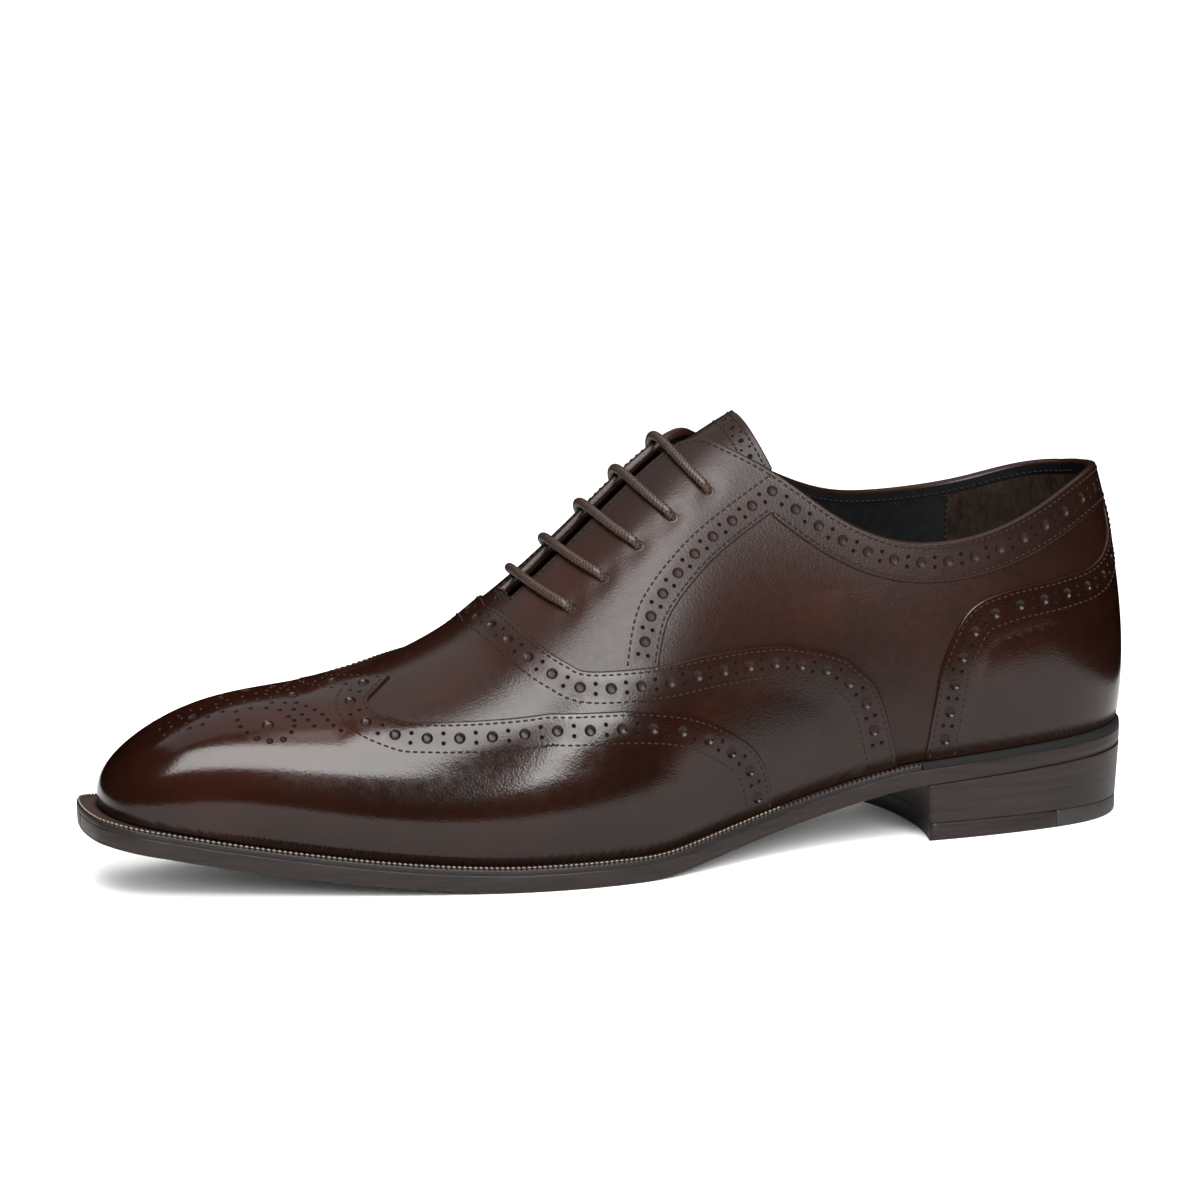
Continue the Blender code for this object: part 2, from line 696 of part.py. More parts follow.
def bowed(start, end, bow):
    """Points between two corners, drawn back to the heel by a parabola."""
    u = np.linspace(-1, 1, SIDE_STEPS)[1:-1]
    line = np.linspace(start, end, SIDE_STEPS)[1:-1]
    line[:, 0] += bow * (1 - u**2)
    return line


def heel_outline(out, front, bow, back=None, back_bow=0.0):
    """Heel seen from above, from the curved front edge round the back or to a back edge."""
    far = float(station_of(front))
    if back is None:
        w = np.linspace(-far, far, HEEL_STEPS)
        s, y = grown_line(w, out)
        arc = np.stack([-s, y], -1)
        return np.concatenate([arc, bowed(arc[-1], arc[0], bow)])
    near = float(station_of(back))
    s, y = grown_line(np.linspace(-far, -near, SIDE_STEPS), out)
    medial = np.stack([-s, y], -1)
    s, y = grown_line(np.linspace(near, far, SIDE_STEPS), out)
    lateral = np.stack([-s, y], -1)
    rear = bowed(medial[-1], lateral[0], back_bow)
    return np.concatenate([medial, rear, lateral, bowed(lateral[-1], medial[0], bow)])


def at_height(outline, height):
    return np.concatenate([outline, np.broadcast_to(height, (len(outline),))[:, None]], axis=1)


# Stacked heel under the seat, drawn in a little toward the floor
STACK_LOW = TOP_LIFT_HIGH + PIECE_GAP
top = heel_outline(STACK_OUT[0], HEEL_BREAST, BREAST_CURVE)
low = heel_outline(STACK_OUT[1], HEEL_BREAST - STACK_RAKE, BREAST_CURVE)
stack("heel_stack", [at_height(low, STACK_LOW), at_height(top, underside(-top[:, 0]) - PIECE_GAP)],
      None, SOLE)

# Top lift on the floor, with a rubber tip let into its back
edge = heel_outline(LIFT_OUT, HEEL_BREAST - LIFT_RAKE, BREAST_CURVE, TIP_FRONT + PIECE_GAP, TIP_BOW)
stack("top_lift", [at_height(edge, 0.0), at_height(edge, TOP_LIFT_HIGH)], None, SOLE)
edge = heel_outline(LIFT_OUT, TIP_FRONT, TIP_BOW)
stack("rubber_tip", [at_height(edge, 0.0), at_height(edge, TOP_LIFT_HIGH)], None, RUBBER)

# Move everything so the middle of the footprint is the origin
corners = np.array([v.co[:] for obj in bpy.data.objects for v in obj.data.vertices])
middle = (corners.min(axis=0) + corners.max(axis=0)) / 2
for obj in bpy.data.objects:
    for v in obj.data.vertices:
        v.co.x -= middle[0]
        v.co.y -= middle[1]
    obj.data.update()
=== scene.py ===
import bpy
import numpy as np
from mathutils import Matrix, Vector
from mathutils.geometry import delaunay_2d_cdt


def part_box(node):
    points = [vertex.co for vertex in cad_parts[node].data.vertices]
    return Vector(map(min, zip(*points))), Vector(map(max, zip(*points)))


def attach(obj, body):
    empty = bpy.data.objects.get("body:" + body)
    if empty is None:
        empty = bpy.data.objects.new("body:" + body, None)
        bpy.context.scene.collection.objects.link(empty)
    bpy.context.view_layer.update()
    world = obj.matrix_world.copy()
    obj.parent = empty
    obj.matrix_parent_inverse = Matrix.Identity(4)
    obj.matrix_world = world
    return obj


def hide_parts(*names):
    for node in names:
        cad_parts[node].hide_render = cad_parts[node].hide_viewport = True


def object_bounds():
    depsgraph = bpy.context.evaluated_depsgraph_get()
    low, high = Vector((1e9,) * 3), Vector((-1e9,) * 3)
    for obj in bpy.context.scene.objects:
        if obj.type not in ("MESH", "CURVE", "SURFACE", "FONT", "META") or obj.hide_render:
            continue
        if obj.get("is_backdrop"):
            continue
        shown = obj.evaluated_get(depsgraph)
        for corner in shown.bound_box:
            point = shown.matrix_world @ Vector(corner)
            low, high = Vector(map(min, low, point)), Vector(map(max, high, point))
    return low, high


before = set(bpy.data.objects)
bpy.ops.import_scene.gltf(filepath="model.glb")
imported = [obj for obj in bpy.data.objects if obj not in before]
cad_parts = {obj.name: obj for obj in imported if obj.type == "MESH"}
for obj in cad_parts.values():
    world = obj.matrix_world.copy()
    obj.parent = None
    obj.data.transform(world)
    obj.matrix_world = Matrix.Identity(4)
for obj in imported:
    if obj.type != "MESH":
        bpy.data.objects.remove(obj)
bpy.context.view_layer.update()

# Quarters
# The two plain back halves of the upper, calf skin pulled over the last and closed at the heel.
# Like every panel they are drawn on the flat pattern of the last, cut out there with their holes,
# and then lasted: each flat point is carried to its place on the last.  Sizes are millimetres.
LAST_LENGTH = 300.0
SOLE_BUILD = 7.4
TOE_SPRING, SPRING_FROM, SPRING_POWER = 15.2, 195.0, 1.64
ARCH_FROM, ARCH_SLOPE = 163.0, 0.206
SEAT_FROM, SEAT_EASE, EASE_RUN = 86.0, 0.145, 14.0
TOE_POLE, TOE_BLEND = 255.0, 9.0
HEEL_POLE, HEEL_BLEND = 31.0, 8.0
BULGE_AT = 0.21
LATERAL, MEDIAL = -1, 1

# Feather line from above: distance from the heel, lateral half, medial half
FEATHER = np.array([
    (3.0, 13.5, 14.0), (15.0, 25.5, 25.5), (42.0, 31.5, 30.5), (69.0, 32.0, 27.5),
    (97.0, 31.0, 22.0), (127.0, 35.5, 23.0), (157.0, 43.0, 33.0), (182.0, 44.0, 40.5),
    (205.0, 40.0, 42.5), (229.0, 34.0, 38.5), (253.0, 27.5, 30.5), (273.0, 22.5, 24.0),
    (288.0, 18.5, 20.0), (296.5, 13.0, 14.5),
])
# Sections: distance from the heel, ridge height, ridge shift, squareness, swell of the wall
SECTIONS = np.array([
    (0.0, 138.0, 0.0, 1.85, 2.2), (42.0, 142.0, 0.0, 2.30, 3.0), (72.0, 145.0, 0.0, 2.30, 2.0),
    (107.0, 131.5, 0.0, 2.10, 2.0), (142.0, 112.0, 0.0, 1.95, 2.5), (177.0, 81.5, 0.5, 2.00, 3.0),
    (202.0, 64.0, 0.0, 2.05, 3.5), (227.0, 54.5, -1.0, 2.15, 3.5), (249.0, 51.3, -1.0, 2.40, 3.0),
    (267.0, 49.0, -0.5, 2.70, 2.5), (284.0, 44.2, 0.0, 3.00, 0.8), (300.0, 38.0, 0.0, 3.20, 0.0),
])
# How far the sole stands out past the feather line: distance from the heel, stand
WELT_STAND = np.array([
    (0.0, 2.0), (60.0, 2.0), (75.0, 2.2), (110.0, 2.6),
    (150.0, 3.4), (190.0, 4.0), (260.0, 4.3), (286.0, 4.6), (293.0, 6.2), (297.8, 7.0), (300.0, 6.1),
])


def spline(x, y):
    """Natural cubic through the knots; its second slopes solve the usual three-term system."""
    step = np.diff(x)
    count = len(x)
    inner = np.arange(1, count - 1)
    system = np.eye(count)
    system[inner, inner - 1] = step[:-1]
    system[inner, inner] = 2 * (step[:-1] + step[1:])
    system[inner, inner + 1] = step[1:]
    side = np.zeros(count)
    side[1:-1] = 6 * np.diff(np.diff(y) / step)
    bend = np.linalg.solve(system, side)

    def read(at):
        i = np.clip(np.searchsorted(x, at) - 1, 0, count - 2)
        a = (x[i + 1] - at) / step[i]
        b = 1 - a
        return a * y[i] + b * y[i + 1] + ((a**3 - a) * bend[i] + (b**3 - b) * bend[i + 1]) * step[i]**2 / 6
    return read


def station_of(s):
    """Station, 0 at the heel and 1 at the toe, spread as the angle of a half circle."""
    return np.arccos(np.clip(1 - 2 * np.asarray(s, float) / LAST_LENGTH, -1, 1)) / np.pi


knot = station_of(FEATHER[:, 0])
knot = np.concatenate([[0.0], knot, [1.0], 2 - knot[::-1]])
half_width = np.concatenate([[0.0], -FEATHER[:, 1], [0.0], FEATHER[::-1, 2]])
feather_side = spline(np.concatenate([knot - 2, knot, knot + 2]), np.tile(half_width, 3))
ridge_high, ridge_side, squareness, swelling = [
    spline(SECTIONS[:, 0], SECTIONS[:, column]) for column in (1, 2, 3, 4)]


def feather_line(w):
    """Distance from the heel and side position at station w; 0 to 1 lateral, 1 to 2 medial."""
    w = np.asarray(w, float) % 2
    return LAST_LENGTH / 2 * (1 - np.cos(np.pi * w)), feather_side(w)


def grown_line(w, out):
    """The feather line moved outwards, square to its own run."""
    small = 1e-4
    s1, y1 = feather_line(w + small)
    s0, y0 = feather_line(w - small)
    s, y = feather_line(w)
    run = np.hypot(s1 - s0, y1 - y0)
    return s + out * (y1 - y0) / run, y - out * (s1 - s0) / run


def ease(u, k):
    """Zero, then a parabola over k, then a straight slope of one."""
    return np.where(u < 0, 0.0, np.where(u < k, u * u / (2 * k), u - k / 2))


def underside(s):
    """Height of the sole's underside: toe spring, flat tread, arch and heel seat."""
    toe = TOE_SPRING * (np.maximum(s - SPRING_FROM, 0) / (LAST_LENGTH - SPRING_FROM)) ** SPRING_POWER
    return toe + ARCH_SLOPE * ease(ARCH_FROM - s, EASE_RUN) - SEAT_EASE * ease(SEAT_FROM - s, EASE_RUN)


def ridge_place(s):
    """Where the section that starts at s meets the ridge; toe and heel sections share a pole."""
    toe = TOE_POLE - TOE_BLEND * np.logaddexp(0, (TOE_POLE - s) / TOE_BLEND)
    return HEEL_POLE + HEEL_BLEND * np.logaddexp(0, (toe - HEEL_POLE) / HEEL_BLEND)


def welt_stand(w):
    """How far the sole stands out past the feather line at station w."""
    return np.interp(feather_line(w)[0], WELT_STAND[:, 0], WELT_STAND[:, 1])


# The last is set over the outsole node of the frame
all_round = np.linspace(0, 2, 801)
sole_s, sole_y = grown_line(all_round, welt_stand(all_round))
sole_low, sole_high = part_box("outsole")
PLACE = np.array([sole_low.x * 1000 + sole_s.max(),
                  (sole_low.y + sole_high.y) * 500 - (sole_y.min() + sole_y.max()) / 2, 0.0])


def last_point(w, t):
    """Point of the last: a superellipse quarter from feather (t 0) to ridge (t 1), swollen low down."""
    s0, y0 = feather_line(w)
    s1 = ridge_place(s0)
    y1 = ridge_side(s1)
    power = 2 / squareness(s0)
    low = underside(s0) + SOLE_BUILD
    across = np.maximum(np.cos(t * np.pi / 2), 0) ** power
    rise = np.sin(t * np.pi / 2) ** power
    swell = swelling(s0) * (t / BULGE_AT) * np.exp(1 - t / BULGE_AT) * (1 - t**4)
    k = 1 - across - swell / np.hypot(s1 - s0, y1 - y0)
    s = s0 + (s1 - s0) * k
    y = y0 + (y1 - y0) * k
    return np.stack([PLACE[0] - s, PLACE[1] + y, low + (ridge_high(s) - low) * rise], -1)


# The flat pattern: each section is unrolled along its own ray in plan, from the ridge outwards
PATTERN_CELLS, GIRTH_CELLS = 900, 160
HALVINGS, EDGE_HALVINGS = 24, 30
GIRTH_SHARE = np.linspace(0, 1, GIRTH_CELLS + 1)


def unit(vectors):
    """Vectors brought to length one."""
    return vectors / np.linalg.norm(vectors, axis=-1, keepdims=True)


def unroll(w):
    """Ridge place, ray, girth by height share and height share by girth share, for each station."""
    s0, y0 = feather_line(w)
    s1 = ridge_place(s0)
    ray = unit(np.stack([s0 - s1, y0 - ridge_side(s1)], -1))
    rows = last_point(w[:, None], GIRTH_SHARE[None, :])
    step = np.linalg.norm(np.diff(rows, axis=1), axis=2)
    girth = np.concatenate([np.cumsum(step[:, ::-1], axis=1)[:, ::-1], np.zeros((len(w), 1))], axis=1)
    share = np.stack([np.interp(GIRTH_SHARE, g[::-1] / g[0], GIRTH_SHARE[::-1]) for g in girth])
    return s1, ray, girth, share


stations = np.linspace(0, 1, PATTERN_CELLS + 1)
RIDGE, RAY, GIRTH, SHARE = [np.stack(pair) for pair in zip(unroll(stations), unroll(2 - stations))]


def cell(value, count):
    """Cell number and place within it, for a value from 0 to 1 on a table of count cells."""
    value = np.clip(value, 0, 1) * count
    i = np.minimum(value.astype(int), count - 1)
    return i, value - i


def between(table, side, i, f):
    """Values of a table of stations on one side, between one station and the next."""
    return table[side, i] * (1 - f) + table[side, i + 1] * f


def twice_between(table, side, i, f, j, g):
    """Values of a table of stations and cells, between two of each."""
    near = table[side, i, j] * (1 - g) + table[side, i, j + 1] * g
    far = table[side, i + 1, j] * (1 - g) + table[side, i + 1, j + 1] * g
    return near * (1 - f) + far * f


def halved_in(like, too_low, halvings):
    """A share from 0 to 1 for each entry, halved in on where too_low stops being true."""
    low = np.zeros_like(like)
    high = np.ones_like(like)
    for _ in range(halvings):
        mid = (low + high) / 2
        grow = too_low(mid)
        low = np.where(grow, mid, low)
        high = np.where(grow, high, mid)
    return mid


def lasted(flat):
    """Station, height share and girth share of flat points.

    The station is halved in until its ray meets the point; the distance along the ray is the girth.
    """
    x = flat[..., 0].ravel()
    y = flat[..., 1].ravel()
    side = (y > 0).astype(int)

    def short_of(station):
        i, f = cell(station, PATTERN_CELLS)
        ray = between(RAY, side, i, f[:, None])
        past = ray[:, 0] * y - ray[:, 1] * (x - between(RIDGE, side, i, f))
        return np.where(side == 1, past < 0, past > 0)

    station = halved_in(x, short_of, HALVINGS)
    i, f = cell(station, PATTERN_CELLS)
    q = np.hypot(x - between(RIDGE, side, i, f), y) / between(GIRTH[..., 0], side, i, f)
    t = twice_between(SHARE, side, i, f, *cell(q, GIRTH_CELLS))
    w = np.where(side == 1, 2 - station, station)
    shape = flat.shape[:-1]
    return w.reshape(shape), t.reshape(shape), q.reshape(shape)


def flat_of(w, t):
    """Flat point of a station and height share: out from the ridge along the ray by the girth."""
    side = (w > 1).astype(int)
    i, f = cell(np.where(w > 1, 2 - w, w), PATTERN_CELLS)
    girth = twice_between(GIRTH, side, i, f, *cell(t, GIRTH_CELLS))
    pole = between(RIDGE, side, i, f)
    return np.stack([pole, 0 * pole], -1) + between(RAY, side, i, f[..., None]) * girth[..., None]


def on_last(flat):
    w, t, _ = lasted(flat)
    return last_point(w, t)


FEEL = 0.4                                   # half step for slopes on the leather
STEP_X, STEP_Y = np.array([FEEL, 0.0]), np.array([0.0, FEEL])


def lie(flat, height):
    """Points at a height over the last, with normals that lean with the slope of that height."""
    dx = on_last(flat + STEP_X) - on_last(flat - STEP_X)
    dy = on_last(flat + STEP_Y) - on_last(flat - STEP_Y)
    up = unit(np.cross(dy, dx))
    dx = dx + (height(flat + STEP_X) - height(flat - STEP_X))[..., None] * up
    dy = dy + (height(flat + STEP_Y) - height(flat - STEP_Y))[..., None] * up
    lean = unit(np.cross(dy, dx))
    return on_last(flat) + height(flat)[..., None] * up, lean


def metric(flat):
    """Lengths on the leather for small moves in the flat pattern, as the three terms of the metric."""
    dx = (on_last(flat + STEP_X) - on_last(flat - STEP_X)) / (2 * FEEL)
    dy = (on_last(flat + STEP_Y) - on_last(flat - STEP_Y)) / (2 * FEEL)
    return (dx * dx).sum(-1), (dx * dy).sum(-1), (dy * dy).sum(-1)


def square_to(curve):
    """Unit moves square to a flat curve, to its left, measured on the leather."""
    run = np.gradient(curve, axis=0)
    a, b, c = metric(curve)
    side = np.stack([-(b * run[:, 0] + c * run[:, 1]), a * run[:, 0] + b * run[:, 1]], -1)
    size = np.sqrt(a * side[:, 0]**2 + 2 * b * side[:, 0] * side[:, 1] + c * side[:, 1]**2)
    return side / np.maximum(size, 1e-9)[:, None]


INSET_STEP = 1.5


def inset(curve, gap):
    """A flat curve moved to its left over the leather by a gap, in short square steps."""
    steps = int(np.ceil(abs(gap) / INSET_STEP))
    for _ in range(steps):
        moved = curve + gap / steps * square_to(curve)
        forward = (np.gradient(moved, axis=0) * np.gradient(curve, axis=0)).sum(-1) > 0
        curve = moved[forward]
    return curve


def run_along(points):
    """Length of the path through the points, from the first to each of them."""
    step = np.linalg.norm(np.diff(points, axis=0), axis=1)
    return np.concatenate([[0.0], np.cumsum(step)])


def evenly(curve, pitch, start=0.0):
    """Points along a flat curve at a fixed pitch, measured over the leather."""
    run = run_along(on_last(curve))
    at = np.arange(start, run[-1] + 1e-6, pitch)
    return np.stack([np.interp(at, run, curve[:, 0]), np.interp(at, run, curve[:, 1])], -1)


def rounded(points, steps=14):
    """Smooth curve through the points, by a cubic through each four in turn."""
    p = np.array(points, float)
    p = np.concatenate([[2 * p[0] - p[1]], p, [2 * p[-1] - p[-2]]])
    u = (np.arange(steps) / steps)[None, :, None]
    a, b, c, d = [p[k:len(p) - 3 + k][:, None, :] for k in range(4)]
    square = 2 * a - 5 * b + 4 * c - d
    cube = 3 * b - a - 3 * c + d
    curve = 0.5 * (2 * b + (c - a) * u + square * u**2 + cube * u**3)
    return np.concatenate([curve.reshape(-1, 2), p[-2:-1]])


AT_ONCE = 3000                               # points measured together, to spare memory


def away(points, curve):
    """Signed distance in the flat pattern from points to an open curve, positive to its left."""
    a, b = curve[:-1], curve[1:]
    span = b - a
    size = (span**2).sum(-1) + 1e-12
    result = np.empty(len(points))
    for part in np.array_split(np.arange(len(points)), len(points) // AT_ONCE + 1):
        gap = points[part][:, None, :] - a[None]
        along = np.clip((gap * span[None]).sum(-1) / size, 0, 1)
        rest = gap - along[..., None] * span[None]
        far = (rest**2).sum(-1)
        near = far.argmin(axis=1)
        pick = np.arange(len(part))
        turn = span[near, 0] * gap[pick, near, 1] - span[near, 1] * gap[pick, near, 0]
        result[part] = np.sqrt(far[pick, near]) * np.sign(turn)
    return result


def within(points, ring):
    """True for points inside a closed flat ring, by counting the edges crossed."""
    a = ring
    b = np.roll(ring, -1, axis=0)
    drop = np.where(b[:, 1] == a[:, 1], 1e-12, b[:, 1] - a[:, 1])
    result = np.empty(len(points), bool)
    for part in np.array_split(np.arange(len(points)), len(points) // AT_ONCE + 1):
        x = points[part, 0][:, None]
        y = points[part, 1][:, None]
        over = (a[:, 1] > y) != (b[:, 1] > y)
        left = x < a[:, 0] + (y - a[:, 1]) / drop * (b[:, 0] - a[:, 0])
        result[part] = (over & left).sum(axis=1) % 2 == 1
    return result


# Middle line of the pattern, off the ridge: distance from the heel, shift to the medial side
PATTERN_AXIS = np.array([
    (0.0, 0.0), (130.0, -2.0), (186.0, -3.0), (222.0, -11.0), (258.0, -7.3), (300.0, -3.0),
])


def axis_shift(s):
    return np.interp(s, PATTERN_AXIS[:, 0], PATTERN_AXIS[:, 1])


def drawn(points, side):
    """A pattern edge given as distance from the heel and girth from the middle line, on one side."""
    curve = rounded(points)
    return np.stack([curve[:, 0], axis_shift(curve[:, 0]) + side * curve[:, 1]], -1)


def to_feather(curve):
    """A flat curve cut off where it meets the feather line."""
    q = lasted(curve)[2]
    end = int(np.argmax(q > 1)) if (q > 1).any() else len(curve) - 1
    k = (1 - q[end - 1]) / max(q[end] - q[end - 1], 1e-9)
    tip = curve[end - 1] + (curve[end] - curve[end - 1]) * min(k, 1)
    return np.concatenate([curve[:end], tip[None]])


FEATHER_POINTS = 170                         # from heel to toe on one side


def feather_between(w0, w1):
    """The feather line in the flat pattern between two stations."""
    w = np.linspace(w0, w1, max(int(abs(w1 - w0) * FEATHER_POINTS), 2))
    return flat_of(w % 2, 0 * w)


VAMP_EDGE = [
    (191.2, 0.0), (190.2, 6.0), (188.0, 17.0), (184.0, 28.5), (179.0, 38.0), (173.0, 45.7),
    (155.0, 59.0), (140.0, 66.8), (124.0, 73.6), (114.5, 78.2), (100.0, 88.5), (92.8, 97.0),
    (87.3, 106.0), (82.6, 123.0), (75.0, 155.0),
]
# Topline: distance from the heel, lateral height, medial height
TOPLINE = np.array([
    (0.0, 102.6, 102.2), (17.0, 101.0, 98.8), (32.0, 94.9, 94.8), (50.0, 87.8, 92.5),
    (66.0, 84.9, 92.3), (78.0, 85.3, 93.5), (89.0, 88.7, 96.5), (100.0, 94.9, 101.0),
    (113.0, 104.7, 107.5), (128.0, 113.5, 115.0), (140.0, 120.0, 120.0),
])
TOPLINE_BLEND = 20.0
THROAT_END, THROAT_HALF, CORNER_SOFT = 187.0, 5.2, 8.0
SEAM_HALF, SEAM_FRONT = 0.25, 203.0
UNDERLAP = 2.9
OUTLINE_PITCH, EDGE_STEP, RIM_LINES, CORNER_POINTS = 0.8, 0.6, 420, 14
topline_lateral, topline_medial = [spline(TOPLINE[:, 0], TOPLINE[:, column]) for column in (1, 2)]


def eased_corner(first, second, soft):
    """Two flat curves joined end to start, their corner replaced by a parabola of the given reach."""
    back = np.linalg.norm(first - first[-1], axis=1)
    ahead = np.linalg.norm(second - second[0], axis=1)
    a = first[back > soft]
    b = second[ahead > soft]
    u = np.linspace(0, 1, CORNER_POINTS)[1:-1, None]
    bend = (1 - u)**2 * a[-1] + 2 * u * (1 - u) * first[-1] + u**2 * b[0]
    return np.concatenate([a, bend, b])


def opening_rim(side):
    """The edge of the opening from the back seam along the topline and down the lace edge.

    On each section the height share is halved in until the point stands at the topline height.
    """
    w = np.linspace(0.0, float(station_of(TOPLINE[-1, 0])), RIM_LINES)
    w = w if side == LATERAL else 2 - w

    def below_topline(share):
        p = last_point(w, share)
        s = np.clip(PLACE[0] - p[:, 0], 0, TOPLINE[-1, 0])
        blend = np.clip((p[:, 1] - PLACE[1]) / TOPLINE_BLEND + 0.5, 0, 1)
        return p[:, 2] < topline_lateral(s) + (topline_medial(s) - topline_lateral(s)) * blend

    collar = flat_of(w % 2, halved_in(w, below_topline, EDGE_HALVINGS))
    collar = collar[side * (collar[:, 1] - axis_shift(collar[:, 0])) > THROAT_HALF + 1e-3]
    s = np.arange(collar[-1, 0] + EDGE_STEP / 2, THROAT_END, EDGE_STEP)
    lace = np.stack([s, axis_shift(s) + side * THROAT_HALF], -1)
    rim = eased_corner(collar, np.concatenate([collar[-1:], lace]), CORNER_SOFT)
    s = np.arange(THROAT_END, SEAM_FRONT, OUTLINE_PITCH)
    seam = np.stack([s, axis_shift(s) + side * SEAM_HALF], -1)
    return np.concatenate([rim, seam])


def clear_of_axis(curve, side, gap=0.05):
    """The part of a flat curve on one side of the middle line."""
    return curve[side * (curve[:, 1] - axis_shift(curve[:, 0])) > gap]


vamp_edge, under_vamp, rim = {}, {}, {}
for side in (LATERAL, MEDIAL):
    vamp_edge[side] = to_feather(evenly(drawn(VAMP_EDGE, side), OUTLINE_PITCH))
    under_vamp[side] = to_feather(clear_of_axis(inset(vamp_edge[side], -side * UNDERLAP), side))
    rim[side] = evenly(opening_rim(side), OUTLINE_PITCH)


def mesh_piece(name, points, faces, look, nodes=(), normals=None, marks=()):
    """An object from points in millimetres and faces of one size, smooth, with named point values."""
    faces = np.asarray(faces, np.int32)
    mesh = bpy.data.meshes.new(name)
    mesh.vertices.add(len(points))
    mesh.vertices.foreach_set("co", (np.asarray(points) * 0.001).astype(np.float32).ravel())
    mesh.loops.add(faces.size)
    mesh.loops.foreach_set("vertex_index", faces.ravel())
    mesh.polygons.add(len(faces))
    mesh.polygons.foreach_set("loop_start", np.arange(len(faces), dtype=np.int32) * faces.shape[1])
    mesh.update(calc_edges=True)
    mesh.validate()
    mesh.polygons.foreach_set("use_smooth", np.ones(len(mesh.polygons), bool))
    for key, values in dict(marks).items():
        layer = mesh.attributes.new(key, "FLOAT", "POINT")
        layer.data.foreach_set("value", np.asarray(values, np.float32))
    if normals is not None:
        own = np.empty(len(points) * 3, np.float32)
        mesh.vertex_normals.foreach_get("vector", own)
        keep = np.isfinite(normals[:, :1])
        mixed = np.where(keep, normals, own.reshape(-1, 3))
        mesh.normals_split_custom_set_from_vertices(mixed.tolist())
    mesh.materials.append(look)
    piece = bpy.data.objects.new(name, mesh)
    bpy.context.scene.collection.objects.link(piece)
    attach(piece, "root")
    if nodes:
        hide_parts(*nodes)
    return piece


# The grid of even triangles inside a panel, its rows closer than its points
GRID_PITCH, GRID_ROWS, GRID_CLEAR, HOLE_CLEAR = 1.7, 0.866, 0.75, 0.2
# A cut edge rolls down a little; its raw colour fades inwards and down the skirt under it
EDGE_ROLL, EDGE_RING, EDGE_FADE, SKIRT, SKIRT_FADE = 0.28, 0.45, 0.35, 1.1, 0.5
# Painted shade, dark and dull, along the foot of the upper over the welt: share of the girth where it starts,
# and run
WELT_SHADE_FROM, WELT_SHADE_RUN = 0.972, 0.014
ROW_DEEP, ROW_FLANK = 0.16, 0.5
# LIP_DARK is the painted shade at the rim of a hole
WIDE_HOLE, WIDE_CORNERS, FINE_CORNERS, LIP_DARK = 1.0, 18, 10, 0.1
# A punched hole is a bowl: share of the radius, of the depth and of the darkness, a painted shade that
# deepens into the hole
PUNCHED = ((0.95, 0.15, 0.2), (0.80, 0.62, 0.6), (0.55, 0.90, 0.8), (0.28, 1.0, 0.9), (0.05, 1.0, 0.9))


def hole_rings(centres, radius, corners):
    """Rings in the flat pattern that are true circles on the leather, from the root of the metric."""
    a, b, c = metric(centres)
    root = np.sqrt(a * c - b * b)
    size = np.sqrt(a + c + 2 * root)
    p, q, r = (a + root) / size, b / size, (c + root) / size
    turn = np.arange(corners) * 2 * np.pi / corners
    u = radius * np.cos(turn)[None, :]
    v = radius * np.sin(turn)[None, :]
    det = (p * r - q * q)[:, None]
    x = (r[:, None] * u - q[:, None] * v) / det
    y = (p[:, None] * v - q[:, None] * u) / det
    return centres[:, None, :] + np.stack([x, y], -1)


def spread_inside(outline, placed):
    """A grid of even triangles inside an outline, clear of the points already placed."""
    low = outline.min(axis=0)
    high = outline.max(axis=0)
    gx, gy = np.meshgrid(np.arange(low[0], high[0], GRID_PITCH),
                         np.arange(low[1], high[1], GRID_PITCH * GRID_ROWS))
    gx = gx + (np.arange(gx.shape[0]) % 2)[:, None] * GRID_PITCH / 2
    grid = np.stack([gx.ravel(), gy.ravel()], -1)
    grid = grid[within(grid, outline)]
    near = np.array([(i, j) for i in (-1, 0, 1) for j in (-1, 0, 1)])
    taken = (np.round(placed / GRID_CLEAR)[:, None] + near).reshape(-1, 2)
    spot = np.round(grid / GRID_CLEAR)
    return grid[~np.isin(spot[:, 0] + 1j * spot[:, 1], taken[:, 0] + 1j * taken[:, 1])]


